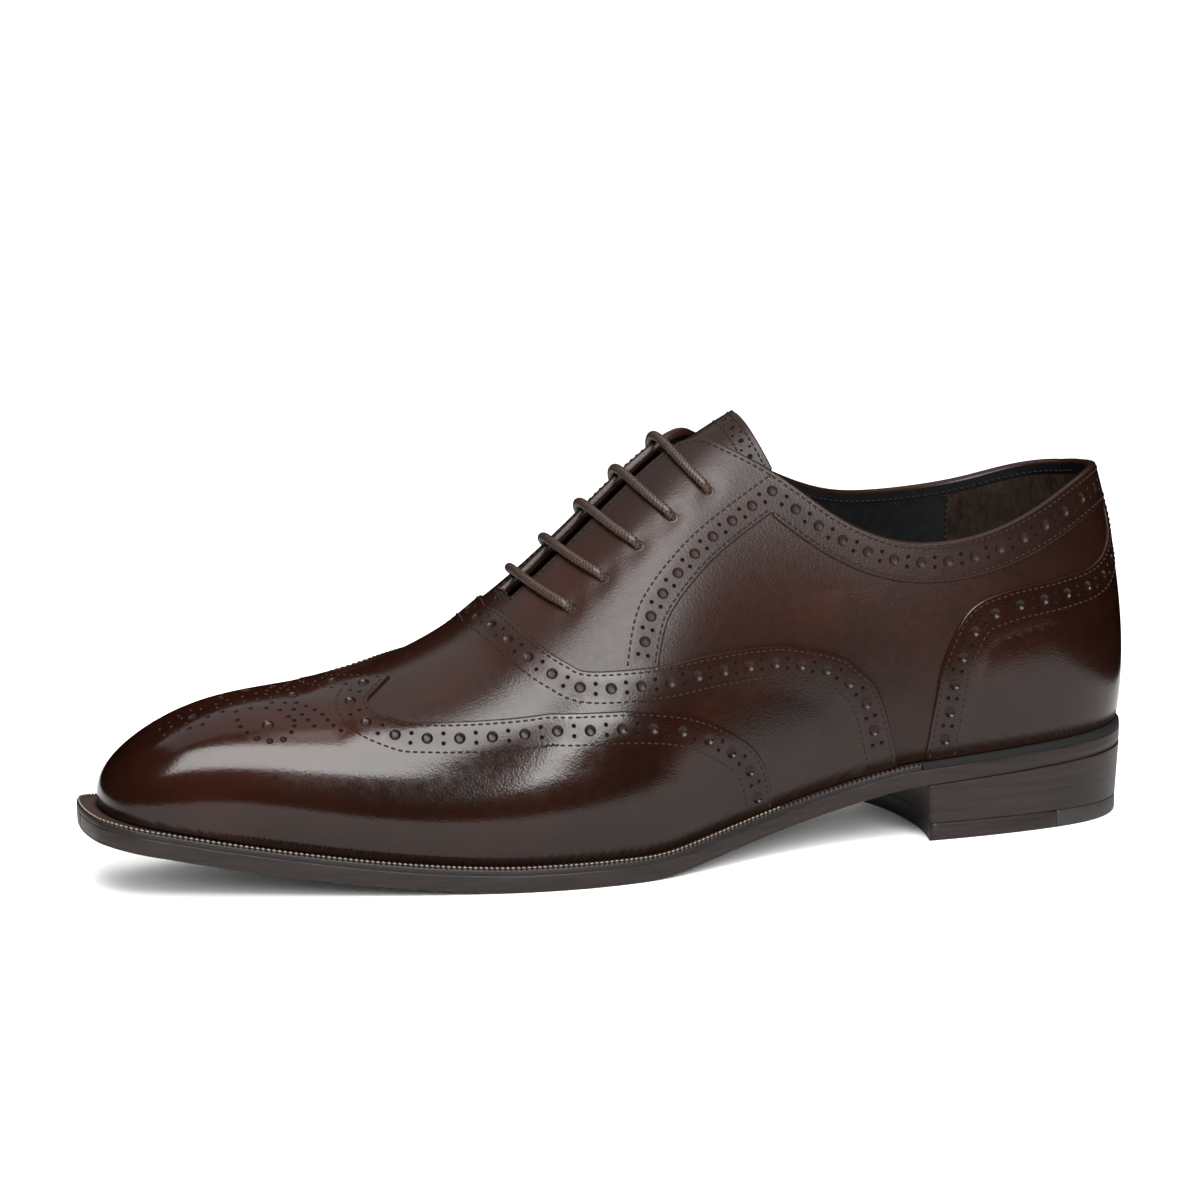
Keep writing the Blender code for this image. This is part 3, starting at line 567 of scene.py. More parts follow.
def cut_leather(outline, height, cuts=(), holes=(), rows=(), skirt=SKIRT):
    """A panel of leather: flat outline and holes triangulated together, then lasted.

    cuts are visible edges, given with the panel on their left; holes are (centres, radius, depth,
    darkness), the darkness being painted shade; rows are sewn lines, pressed in a little.  Returns
    points, faces, normals and marks, the marks painting shade in the holes and over the welt.
    """
    after = np.roll(outline, -1, axis=0)
    if (outline[:, 0] * after[:, 1] - outline[:, 1] * after[:, 0]).sum() < 0:
        outline = outline[::-1]
    parts, ties, bowls = [], [], []
    total = 0

    def put(flat, drop=0.0, edge=0.0, pit=0.0, plain=True, hole=-1):
        """Adds flat points with their drop under the surface, marks and hole, and gives their numbers."""
        nonlocal total
        parts.append(np.stack(np.broadcast_arrays(*flat.T, drop, edge, pit, plain, hole), -1))
        total += len(flat)
        return np.arange(total - len(flat), total)

    bare = np.zeros(len(outline))
    for cut in cuts:
        bare = np.maximum(bare, np.abs(away(outline, cut)) < EDGE_RING)
    ring = put(outline, EDGE_ROLL * bare, bare, plain=bare < 0.5)
    ties.append(np.stack([ring, np.roll(ring, -1)], -1))
    for cut in cuts:
        put(inset(cut, EDGE_RING)[1:-1], edge=EDGE_FADE)
    for row in rows:
        put(row, ROW_DEEP, plain=False)
        put(inset(row, ROW_FLANK))
        put(inset(row, -ROW_FLANK))
    hole_count = 0
    for centres, radius, deep, dark in holes:
        corners = WIDE_CORNERS if radius > WIDE_HOLE else FINE_CORNERS
        rings = hole_rings(centres, radius, corners)
        number = np.repeat(np.arange(len(centres)) + hole_count, corners)
        hole_count += len(centres)
        ids = put(rings.reshape(-1, 2), pit=LIP_DARK, hole=number).reshape(-1, corners)
        ties.append(np.stack([ids, np.roll(ids, -1, axis=1)], -1).reshape(-1, 2))
        bowls.append((ids, rings, centres, deep, dark))
    grid = spread_inside(outline, np.concatenate(parts)[:, :2])
    for _, rings, centres, _, _ in bowls:
        reach = np.abs(rings - centres[:, None]).max(axis=(1, 2)) + HOLE_CLEAR
        for centre, far in zip(centres, reach):
            grid = grid[np.abs(grid - centre).max(axis=1) > far]
    put(grid)

    # Triangulate, and drop the triangles that lie in a hole or outside the outline
    table = np.concatenate(parts)
    made = delaunay_2d_cdt(table[:, :2].tolist(), np.concatenate(ties).tolist(), [], 1, 1e-5, True)
    came = np.array([(new, old) for new, olds in enumerate(made[3]) for old in olds])
    back = np.full(total, -1)
    back[came[:, 1]] = came[:, 0]
    first = np.zeros(len(made[0]), int)
    first[came[::-1, 0]] = came[::-1, 1]
    table = table[first]
    table[:, :2] = [tuple(place) for place in made[0]]
    faces = np.array([face for face in made[2] if len(face) == 3])
    hole = table[faces, -1]
    faces = faces[(hole[:, 0] < 0) | (hole != hole[:, :1]).any(axis=1)]
    faces = faces[within(table[faces, :2].mean(axis=1), outline)]
    parts, total = [table], len(table)
    bands = [faces[:, ::-1]]

    def wall(ids, below, **marks):
        """A ring of new points tied to a ring already there by a band of triangles."""
        new = put(below.reshape(-1, 2), plain=False, **marks).reshape(-1, ids.shape[1])
        a, b = ids, np.roll(ids, -1, axis=1)
        c, d = np.roll(new, -1, axis=1), new
        bands.append(np.stack([a, c, b], -1).reshape(-1, 3))
        bands.append(np.stack([a, d, c], -1).reshape(-1, 3))
        return new

    for ids, rings, centres, deep, dark in bowls:
        ids = back[ids]
        middle = centres[:, None, :]
        for share, fall, shade in PUNCHED:
            ids = wall(ids, middle + (rings - middle) * share, drop=deep * fall, pit=dark * shade)
        fan = np.arange(1, ids.shape[1] - 1)
        hub = np.broadcast_to(ids[:, :1], (len(ids), len(fan)))
        bands.append(np.stack([hub, ids[:, fan + 1], ids[:, fan]], -1).reshape(-1, 3))
    if skirt:
        fade = SKIRT_FADE * bare[::-1]
        wall(back[ring][None, ::-1], outline[None, ::-1], drop=EDGE_ROLL + skirt, edge=fade)
    table = np.concatenate(parts)
    flat = table[:, :2]
    drop, edge, pit, plain, _ = table[:, 2:].T
    points, lean = lie(flat, height)
    points = points - drop[:, None] * lean
    lean = np.where(plain[:, None] > 0.5, lean, np.nan)
    # Painted shade: the leather goes near black and dull towards the welt, by the same mark as the holes
    welt_shade = np.clip((lasted(flat)[2] - WELT_SHADE_FROM) / WELT_SHADE_RUN, 0, 1)
    marks = {"edge": edge, "pit": np.maximum(pit, welt_shade), "tone": burnish(flat)}
    return points, np.concatenate(bands), lean, marks


# Burnished patches: distance from the heel, girth from the middle line, reach along and around, amount
BURNISH = np.array([
    (262.0, 12.0, 26.0, 16.0, 0.55), (240.0, 16.0, 16.0, 10.0, 0.45), (215.0, 62.0, 60.0, 14.0, 0.15),
    (205.0, 14.0, 18.0, 16.0, 0.40), (176.0, 14.0, 12.0, 10.0, 0.45), (96.0, 76.0, 24.0, 16.0, 0.30),
    (60.0, 92.0, 26.0, 18.0, 0.25), (140.0, 84.0, 16.0, 12.0, 0.20), (118.0, 60.0, 24.0, 14.0, 0.25),
    (286.0, 34.0, 14.0, 14.0, 0.30), (112.0, 100.0, 26.0, 14.0, -0.20), (152.0, 28.0, 34.0, 16.0, 0.35),
])
BURNISH_BASE = 0.28


def burnish(flat):
    """How red the leather is, from 0 to 1: a base with soft round patches added or taken away."""
    girth = np.abs(flat[:, 1] - axis_shift(flat[:, 0]))
    along = (flat[:, 0][:, None] - BURNISH[:, 0]) / BURNISH[:, 2]
    around = (girth[:, None] - BURNISH[:, 1]) / BURNISH[:, 3]
    patch = (np.exp(-(along**2 + around**2)) * BURNISH[:, 4]).sum(axis=1)
    return np.clip(BURNISH_BASE + patch, 0, 1)


def linear(code):
    """Linear colour of an sRGB hex code: the lower part by a divisor, the rest by a power."""
    value = np.array([int(code[k:k + 2], 16) for k in (0, 2, 4)]) / 255
    value = np.where(value < 0.04045, value / 12.92, ((value + 0.055) / 1.055) ** 2.4)
    return (*value.tolist(), 1.0)


def fill(tree, made, **inputs):
    """Sets a node's inputs, or links those given as sockets; i0, i1 and so on go by number."""
    for key, value in inputs.items():
        by_number = key[0] == "i" and key[1:].isdigit()
        socket = made.inputs[int(key[1:]) if by_number else key.replace("_", " ")]
        if isinstance(value, bpy.types.NodeSocket):
            tree.links.new(value, socket)
        else:
            socket.default_value = value


def node(tree, kind, settings=(), **inputs):
    """Adds a node with its settings, its inputs set or linked."""
    made = tree.nodes.new(kind)
    for key, value in dict(settings).items():
        setattr(made, key, value)
    fill(tree, made, **inputs)
    return made


def finish_named(name, **sockets):
    """A new material and its shader, with plain values set on the shader's own sockets."""
    look = bpy.data.materials.new(name)
    look.use_nodes = True
    shader = look.node_tree.nodes["Principled BSDF"]
    fill(look.node_tree, shader, **sockets)
    return look, look.node_tree, shader


COLOURS = {"data_type": "RGBA"}
SCALED_SUM = {"operation": "MULTIPLY_ADD"}
CAPPED_SUM = {"operation": "MULTIPLY_ADD", "use_clamp": True}
# RAW_EDGE is the colour of a cut edge; the second colour is the painted shade of holes and of the strip over
# the welt
RAW_EDGE, PAINTED_SHADE = "1c0c06", "140905"


def burnished_calf(name, dark, warm, grain, rough, index):
    """Box calf, aniline dyed and polished by hand: a thin clear polish over close, fine pores.

    The colour goes from the dark dye to the warm one with the burnish, clouded at about 12 mm; raw
    edges are paler; holes and the strip over the welt are painted near black as shade, and dull.
    Pores are drawn at 0.55 mm, coarse enough to show, over a softer unevenness of 2.4 mm.
    """
    look, tree, shader = finish_named(name, IOR=index)
    place = node(tree, "ShaderNodeTexCoord").outputs["Object"]
    tone, edge, pit = [node(tree, "ShaderNodeAttribute", {"attribute_name": mark}).outputs["Fac"]
                       for mark in ("tone", "edge", "pit")]
    cloud = node(tree, "ShaderNodeTexNoise", Vector=place, Scale=1000 / 12.0, Detail=3.0, Roughness=0.55)
    shift = node(tree, "ShaderNodeMath", SCALED_SUM, i0=cloud.outputs["Fac"], i1=0.5, i2=-0.25)
    warmth = node(tree, "ShaderNodeMath", {"operation": "ADD", "use_clamp": True},
                  i0=tone, i1=shift.outputs[0])
    dye = node(tree, "ShaderNodeMix", COLOURS, i0=warmth.outputs[0], i6=linear(dark), i7=linear(warm))
    raw = node(tree, "ShaderNodeMix", COLOURS, i0=edge, i6=dye.outputs[2], i7=linear(RAW_EDGE))
    # Painted shade: hole walls and floors and the strip over the welt go towards the near black shade colour
    base = node(tree, "ShaderNodeMix", COLOURS, i0=pit, i6=raw.outputs[2], i7=linear(PAINTED_SHADE))
    pores = node(tree, "ShaderNodeTexVoronoi", {"feature": "SMOOTH_F1"}, Vector=place, Scale=1000 / 0.55)
    soft = node(tree, "ShaderNodeTexNoise", Vector=place, Scale=1000 / 2.4, Detail=4.0, Roughness=0.6)
    relief = node(tree, "ShaderNodeMath", SCALED_SUM,
                  i0=soft.outputs["Fac"], i1=0.25, i2=pores.outputs["Distance"])
    bump = node(tree, "ShaderNodeBump", Strength=grain, Distance=0.00012, Height=relief.outputs[0])
    rub = node(tree, "ShaderNodeMath", SCALED_SUM, i0=soft.outputs["Fac"], i1=0.14, i2=rough - 0.07)
    # Where the shade is painted the polish is dulled too
    matt = node(tree, "ShaderNodeMath", CAPPED_SUM, i0=pit, i1=0.6, i2=rub.outputs[0])
    gleam = node(tree, "ShaderNodeMath", SCALED_SUM, i0=pit, i1=-0.45, i2=0.5)
    fill(tree, shader, Base_Color=base.outputs[2], Roughness=matt.outputs[0],
         Specular_IOR_Level=gleam.outputs[0], Normal=bump.outputs[0])
    return look


CALF = burnished_calf("burnished box calf", "0e0502", "291108", 0.28, 0.33, 1.38)
POLISHED = burnished_calf("polished box calf", "090402", "250f08", 0.12, 0.15, 1.41)
QUARTER_HIGH = 0.3
SEAM_STATION, SEAM_EDGE, SEAM_POINTS = 1e-4, 0.02, 50

# Soft creases: distance from the heel, girth from the middle line, half length, half width, turn, depth
CREASES = np.array([
    (114.0, 63.0, 9.0, 1.1, 0.75, 0.05), (108.0, 66.0, 11.0, 1.3, 0.60, 0.06),
    (120.0, 58.0, 8.0, 1.0, 0.95, 0.04), (101.0, 70.0, 10.0, 1.5, 0.45, 0.06),
    (95.0, 80.0, 8.0, 1.2, 0.35, 0.04), (111.0, 73.0, 7.0, 1.0, 0.70, 0.035),
    (128.0, 60.0, 7.0, 1.0, 0.80, 0.035), (88.0, 86.0, 9.0, 1.6, 0.55, 0.05),
])


def quarter_height(flat):
    """Even gauge with a few soft troughs, each long one way and narrow the other."""
    s = flat[..., 0, None] - CREASES[:, 0]
    g = np.abs(flat[..., 1] - axis_shift(flat[..., 0]))[..., None] - CREASES[:, 1]
    turn = CREASES[:, 4]
    along = (s * np.cos(turn) - g * np.sin(turn)) / CREASES[:, 2]
    across = (s * np.sin(turn) + g * np.cos(turn)) / CREASES[:, 3]
    return QUARTER_HIGH - (CREASES[:, 5] * np.exp(-along**2 - across**2)).sum(-1)


for side, word in ((LATERAL, "lateral"), (MEDIAL, "medial")):
    heel = 0.0 if side == LATERAL else 2.0
    share = np.linspace(lasted(rim[side][:1])[1][0], 0, SEAM_POINTS)
    seam = flat_of(np.full(SEAM_POINTS, heel - side * SEAM_STATION), share)
    seam[:, 1] = side * SEAM_EDGE
    foot = feather_between(heel, lasted(under_vamp[side][-1:])[0][0])
    outline = np.concatenate([rim[side][::-1], seam[1:-1], foot[1:], under_vamp[side][::-1]])
    points, faces, lean, marks = cut_leather(outline, quarter_height)
    nodes = ("upper",) if side == LATERAL else ()
    mesh_piece("quarter_" + word, points, faces, CALF, nodes, normals=lean, marks=marks)

# Facings and collar bands
# The leather beside the laces and the band under the topline, one piece a side, sewn on the quarter.
# Its back and lower edge carry a brogued strip between two rows of stitches.
FACING_EDGE = [
    (84.0, 36.5), (95.0, 38.0), (116.0, 40.4), (133.0, 43.0), (141.5, 45.4), (147.0, 47.6),
    (151.0, 50.6), (154.6, 58.5), (157.5, 70.0),
]
COLLAR_DEEP = 10.4
FACING_HIGH = 1.05
ROW_OUT, HOLES_IN, ROW_IN = 1.2, 4.8, 8.6
RIM_ROW, RIM_HOLES = 0.9, 4.8
HOLE_BIG, HOLE_SMALL, PAIR_HALF, HOLE_DEEP = 1.6, 0.62, 1.35, 0.6
STRAP_UNDER, FACING_PITCH, COLLAR_PITCH = 5.0, 7.4, 8.0
LACE_AT = (181.5, 171.6, 161.2, 151.0, 140.0)
EYELET_GIRTH, LACE_SWEEP, EYELET_RADIUS, EYELET_DEEP = 25.0, 6.8, 1.65, 2.0
DIMPLE_DEEP, DIMPLE_REACH = 0.42, 3.4
# Darkness of the painted shade in the bowls and in the pricks
BOWL_DARK, PRICK_DARK = 0.35, 1.0
ROW_CLEAR, BOWL_CLEAR, PRICK_CLEAR = 0.3, 2.6, 1.4
FACING_STEP, RIM_ROW_PAST = 0.5, 2.0
# Points of the rim past the corner for the collar's edge and holes, and before its row starts
EDGE_PAST, HOLES_PAST, ROW_SKIP = 12, 16, 6


def crossing(first, second):
    """Numbers of the nearest points of two flat curves."""
    gap = np.linalg.norm(first[:, None] - second[None], axis=2)
    return np.unravel_index(gap.argmin(), gap.shape)


def brogue_along(line, pitch, start=0.0):
    """Centres of the large holes and of the small pairs between them, along a flat line."""
    beat = evenly(line, pitch / 2, start)
    across = square_to(beat)
    pair = np.concatenate([beat[1::2] + PAIR_HALF * across[1::2], beat[1::2] - PAIR_HALF * across[1::2]])
    return beat[0::2], pair


def eyelets(side):
    """Eyelet places in the flat pattern."""
    s = np.array(LACE_AT) - LACE_SWEEP
    return np.stack([s, axis_shift(s) + side * EYELET_GIRTH], -1)


def facing_height(flat):
    """Even gauge, drawn down in a soft dimple where each lace goes in."""
    low = np.zeros(flat.shape[:-1])
    for side in (LATERAL, MEDIAL):
        for place in eyelets(side):
            far = ((flat - place)**2).sum(-1)
            low = low + DIMPLE_DEEP * np.exp(-far / DIMPLE_REACH**2)
    return FACING_HIGH - low


THREAD_PITCH, THREAD_LONG, THREAD_HALF, THREAD_SINK = 2.0, 1.5, 0.29, 0.03
# A stitch from end to end: share of half its length, of its thickness, and how deep it is sunk
STITCH = np.array([
    (-1.0, 0.12, 1.2), (-0.82, 0.72, 0.4), (-0.3, 1.0, 0.0),
    (0.3, 1.0, 0.0), (0.82, 0.72, 0.4), (1.0, 0.12, 1.2),
])
STITCH_SIDES = 6


def waxed_thread(name, dark, pale):
    """Twisted linen thread, waxed: dull, with the twist just showing as light and dark, drawn at 0.5 mm."""
    look, tree, shader = finish_named(name, Roughness=0.62, Specular_IOR_Level=0.3)
    place = node(tree, "ShaderNodeTexCoord").outputs["Object"]
    twist = node(tree, "ShaderNodeTexNoise", Vector=place, Scale=1000 / 0.5, Detail=2.0).outputs["Fac"]
    dye = node(tree, "ShaderNodeMix", COLOURS, i0=twist, i6=linear(dark), i7=linear(pale))
    bump = node(tree, "ShaderNodeBump", Strength=0.5, Distance=0.0001, Height=twist)
    fill(tree, shader, Base_Color=dye.outputs[2], Normal=bump.outputs[0])
    return look


THREAD = waxed_thread("waxed linen thread", "0f0704", "22130c")


def stitches(name, place, run, up, long, half, look):
    """Short spindles of thread, one at each place along its run, their ends sunk into the leather."""
    place, run, up = [part[:, None, None, :] for part in (place, run, up)]
    wide = np.cross(up, run)
    along = STITCH[:, :1] * long / 2
    thick = STITCH[:, 1:2] * half
    sink = STITCH[:, 2:] * half
    turn = (np.arange(STITCH_SIDES) * 2 * np.pi / STITCH_SIDES)[None, :]
    x = (along + 0 * turn)[None, :, :, None]
    y = (thick * np.cos(turn))[None, :, :, None]
    z = (thick * np.sin(turn) - sink)[None, :, :, None]
    points = place + x * run + y * wide + z * up
    ids = np.arange(points.size // 3).reshape(points.shape[:3])
    after = np.roll(ids, -1, axis=2)
    faces = np.stack([ids[:, :-1], after[:, :-1], after[:, 1:], ids[:, 1:]], -1).reshape(-1, 4)
    return mesh_piece(name, points.reshape(-1, 3), faces, look)


def behind_vamp(curve, side, reach):
    """The points of a flat curve that lie behind the vamp's edge by at least the reach."""
    return curve[side * away(curve, vamp_edge[side]) > reach]


def strip_holes(big, small):
    """The two kinds of hole in a brogued strip: wide shallow bowls and small pricks, both with painted shade.
    """
    return [(big, HOLE_BIG, HOLE_DEEP, BOWL_DARK), (small, HOLE_SMALL, HOLE_DEEP, PRICK_DARK)]


def sew(name, rows, height, face=1, look=THREAD):
    """Stitches at an even pitch along flat rows, on the outer face or the inner one."""
    places, runs, ups = [], [], []
    for row in rows:
        points, lean = lie(evenly(row, THREAD_PITCH, THREAD_PITCH / 2), height)
        places.append(points - THREAD_SINK * face * lean)
        runs.append(unit(np.gradient(points, axis=0)))
        ups.append(face * lean)
    place, run, up = [np.concatenate(part) for part in (places, runs, ups)]
    return stitches(name, place, run, up, THREAD_LONG, THREAD_HALF, look)


for side, word in ((LATERAL, "lateral"), (MEDIAL, "medial")):
    full = evenly(drawn(FACING_EDGE, side), FACING_STEP)
    top, at_rim = crossing(full, rim[side])
    full = full[top:]
    low_edge = inset(rim[side][:at_rim + EDGE_PAST], side * COLLAR_DEEP)
    turn_d, turn_e = crossing(low_edge, full)
    start = int(np.argmax(np.abs(low_edge[:, 1]) > STRAP_UNDER))
    low_edge = evenly(low_edge[start:turn_d], OUTLINE_PITCH)
    cut_edge = evenly(full[turn_e:], OUTLINE_PITCH)
    end_e, end_f = crossing(cut_edge, under_vamp[side])
    cut_edge = cut_edge[:end_e]
    rim_from = int(np.argmax(np.abs(rim[side][:, 1]) > STRAP_UNDER))
    outline = np.concatenate([low_edge, cut_edge, under_vamp[side][:end_f][::-1], rim[side][rim_from:][::-1]])
    gap = -side
    outer_row = behind_vamp(inset(cut_edge, gap * ROW_OUT), side, ROW_CLEAR)
    inner_row = behind_vamp(inset(full, gap * ROW_IN), side, ROW_CLEAR)
    inner_row = inner_row[side * away(inner_row, rim[side]) > RIM_ROW]
    rim_row = inset(rim[side][rim_from + ROW_SKIP:], side * RIM_ROW)
    rim_row = rim_row[rim_row[:, 0] < THROAT_END + RIM_ROW_PAST]
    rows = [inset(low_edge, gap * ROW_OUT), outer_row, inner_row, rim_row]
    facing_holes = inset(full, gap * HOLES_IN)
    collar_holes = inset(rim[side][rim_from:at_rim + HOLES_PAST][::-1], -side * RIM_HOLES)
    corner_f, corner_c = crossing(facing_holes, collar_holes)
    big_f, small_f = brogue_along(facing_holes[corner_f:], FACING_PITCH)
    big_c, small_c = brogue_along(collar_holes[corner_c:], COLLAR_PITCH)
    big = np.concatenate([behind_vamp(big_f, side, BOWL_CLEAR), big_c[1:]])
    small = np.concatenate([behind_vamp(small_f, side, PRICK_CLEAR), small_c])
    # The eyelets are painted dark inside, as shade
    holes = strip_holes(big, small) + [(eyelets(side), EYELET_RADIUS, EYELET_DEEP, PRICK_DARK)]
    cuts = [low_edge, cut_edge] if side == LATERAL else [low_edge[::-1], cut_edge[::-1]]
    points, faces, lean, marks = cut_leather(outline, facing_height, cuts, holes, rows)
    nodes = ("facing_" + word, "collar_band_" + word)
    mesh_piece("facing_" + word, points, faces, CALF, nodes, normals=lean, marks=marks)
    sew("facing_stitches_" + word, rows, facing_height)

# Bar tack: a few threads side by side across the end of the throat
TACK_AT, TACK_HALF, TACK_POINTS = (186.4, 187.3, 188.2), 2.6, 9
tack = np.linspace(-TACK_HALF, TACK_HALF, TACK_POINTS)
rows = [np.stack([np.full(TACK_POINTS, s), axis_shift(s) + tack], -1) for s in TACK_AT]
sew("bar_tack", rows, facing_height)

# Counter
# The heel piece, wrapped round the back over both quarters and drawn up into a strap on the seam.
# Its front edge is brogued like the rest.
COUNTER_EDGE = [
    (94.0, 5.0), (89.5, 25.0), (87.0, 41.0), (84.5, 53.0), (77.0, 66.0), (65.0, 70.7),
    (48.0, 73.0), (33.0, 76.0), (20.0, 84.0), (13.0, 93.0), (10.5, 104.0), (10.0, 125.0),
]
COUNTER_HIGH, COUNTER_FALL, LAP_REACH = 1.15, 0.4, 13.0
COUNTER_PITCH, COUNTER_START, COUNTER_STEP, COUNTER_SAMPLES = 8.0, 5.0, 0.6, 601
SEAM_ROW_CLEAR, SEAM_HOLE_CLEAR = 1.0, 3.5
HEEL_STATION, LOWEST_SHARE = 1e-6, 1e-4
# Share of the girth, from the ridge down, past which no bowl or prick is punched
LOWEST_BOWL, LOWEST_PRICK = 0.965, 0.975


def counter_curve(side):
    """The counter's edge from run around the feather line and height: station by run, share by height."""
    curve = rounded(COUNTER_EDGE)
    w = np.linspace(0, 1, COUNTER_SAMPLES)
    run = run_along(np.stack(feather_line(w if side == LATERAL else 2 - w), -1))
    station = np.interp(curve[:, 0], run, w)
    station = station if side == LATERAL else 2 - station

    def below_edge(share):
        return last_point(station, share)[:, 2] < curve[:, 1]

    share = halved_in(station, below_edge, EDGE_HALVINGS)
    return flat_of(station, share)[share > LOWEST_SHARE]


counter_edge, strap_top, w_foot = {}, {}, {}
for side in (LATERAL, MEDIAL):
    curve = evenly(counter_curve(side), COUNTER_STEP)
    end, strap_top[side] = crossing(curve, rim[side])
    foot = flat_of(lasted(curve[:1])[0], np.zeros(1))
    counter_edge[side] = evenly(np.concatenate([foot, curve[:end + 1]]), OUTLINE_PITCH)
    w_foot[side] = lasted(counter_edge[side][:1])[0][0]
lat, med = counter_edge[LATERAL], counter_edge[MEDIAL]
over_back = np.concatenate([rim[LATERAL][:strap_top[LATERAL]][::-1], rim[MEDIAL][:strap_top[MEDIAL]]])
heel_point = flat_of(np.full(1, HEEL_STATION), np.zeros(1))
outline = np.concatenate([
    lat, over_back, med[::-1], feather_between(w_foot[MEDIAL], 2.0)[1:-1],
    heel_point, feather_between(0.0, w_foot[LATERAL])[1:-1]])


def counter_height(flat):
    """Full gauge at the lapped edge, easing down behind it."""
    spots = flat.reshape(-1, 2)
    far = np.minimum(np.abs(away(spots, lat)), np.abs(away(spots, med))).reshape(flat.shape[:-1])
    return COUNTER_HIGH - COUNTER_FALL * np.clip(far / LAP_REACH, 0, 1)**2


def clear_of_seam(spots):
    """The places that are clear of the back seam and of the welt."""
    return spots[(np.abs(spots[:, 1]) > SEAM_HOLE_CLEAR) & (lasted(spots)[2] < LOWEST_BOWL)]


rows, big, small = [], [], []
for side in (LATERAL, MEDIAL):
    inner_row = inset(counter_edge[side], -side * ROW_IN)
    rows.append(inset(counter_edge[side], -side * ROW_OUT))
    rows.append(inner_row[np.abs(inner_row[:, 1]) > SEAM_ROW_CLEAR])
    line = inset(counter_edge[side], -side * HOLES_IN)
    centres, pairs = brogue_along(line, COUNTER_PITCH, COUNTER_START)
    big.append(clear_of_seam(centres))
    small.append(clear_of_seam(pairs))
holes = strip_holes(np.concatenate(big), np.concatenate(small))
points, faces, lean, marks = cut_leather(outline, counter_height, [lat, med[::-1]], holes, rows)
mesh_piece("counter", points, faces, POLISHED, ("counter",), normals=lean, marks=marks)
sew("counter_stitches", rows, counter_height)

# Vamp
# The piece over the instep, lapped over the facings and quarters behind it and under the wing cap.
# Its back edge is folded and brogued.
WING_PEAK = {
    LATERAL: [(222.5, 0.0), (227.0, 4.0), (230.6, 7.7), (229.4, 11.6), (225.0, 15.6), (216.3, 22.0)],
    MEDIAL: [(222.5, 0.0), (227.5, 4.2), (233.0, 8.3), (236.0, 11.5), (233.5, 15.5), (228.0, 18.2),
             (216.3, 24.5)],
}
WING_EDGE = [
    (203.6, 32.0), (183.1, 49.0), (162.1, 65.4), (145.0, 80.2), (132.4, 93.5), (125.8, 102.3),
    (121.8, 113.0), (119.5, 130.0), (118.0, 150.0),
]
VAMP_HIGH, VAMP_FALL, VAMP_PITCH = 1.75, 0.85, 8.3
WING_UNDERLAP, WING_STEP = 4.0, 0.7
wing_edge, under_wing = {}, {}
for side in (LATERAL, MEDIAL):
    wing_edge[side] = to_feather(evenly(drawn(WING_PEAK[side] + WING_EDGE, side), WING_STEP))
    under_wing[side] = to_feather(clear_of_axis(inset(wing_edge[side], -side * WING_UNDERLAP), side))


def lap_height(edges, high, fall):
    """Full gauge at a lapped edge, easing down in front of it over the lap's reach."""
    curve = np.concatenate([edges[LATERAL][::-1], edges[MEDIAL][1:]])

    def read(flat):
        far = np.abs(away(flat.reshape(-1, 2), curve)).reshape(flat.shape[:-1])
        share = np.clip(1 - far / LAP_REACH, 0, 1)
        return high - fall * (1 - share * share * (3 - 2 * share))
    return read


vamp_height = lap_height(vamp_edge, VAMP_HIGH, VAMP_FALL)


def lapped_outline(back, front):
    """Outline of a panel between a back edge and a front boundary that both meet the feather line."""
    w_back = {side: lasted(back[side][-1:])[0][0] for side in back}
    if front is None:
        foot = feather_between(w_back[LATERAL], w_back[MEDIAL])
        return np.concatenate([back[LATERAL], foot[1:-1], back[MEDIAL][1:][::-1]])
    w_front = {side: lasted(front[side][-1:])[0][0] for side in front}
    left = feather_between(w_back[LATERAL], w_front[LATERAL])[1:-1]
    right = feather_between(w_front[MEDIAL], w_back[MEDIAL])[1:-1]
    return np.concatenate([back[LATERAL], left, front[LATERAL][::-1],
                           front[MEDIAL], right, back[MEDIAL][1:][::-1]])


def lapped_strip(edges, pitch):
    """Sewn rows and brogue holes of a lapped edge that runs over the middle line to both sides."""
    rows, big, small = [], [], []
    for side in (LATERAL, MEDIAL):
        for gap in (ROW_OUT, ROW_IN):
            rows.append(clear_of_axis(inset(edges[side], -side * gap), side))
        line = clear_of_axis(inset(edges[side], -side * HOLES_IN), side)
        centres, pairs = brogue_along(line, pitch)
        centres = centres if side == LATERAL else centres[1:]
        big.append(centres[lasted(centres)[2] < LOWEST_BOWL])
        small.append(pairs[lasted(pairs)[2] < LOWEST_PRICK])
    return rows, np.concatenate(big), np.concatenate(small)


rows, big, small = lapped_strip(vamp_edge, VAMP_PITCH)
holes = strip_holes(big, small)
cuts = [vamp_edge[LATERAL], vamp_edge[MEDIAL][::-1]]
outline = lapped_outline(vamp_edge, under_wing)
points, faces, lean, marks = cut_leather(outline, vamp_height, cuts, holes, rows)
VAMP_CALF = burnished_calf("brushed box calf", "0e0502", "271008", 0.24, 0.25, 1.42)
mesh_piece("vamp", points, faces, VAMP_CALF, ("vamp",), normals=lean, marks=marks)
sew("vamp_stitches", rows, vamp_height)

# Wing cap
# The toe cap with its peak on the instep and its wings along both sides, lapped over the vamp,
# brogued along the edge and pierced with a medallion on the toe.
WING_HIGH, WING_FALL, WING_PITCH = 1.75, 0.75, 8.7
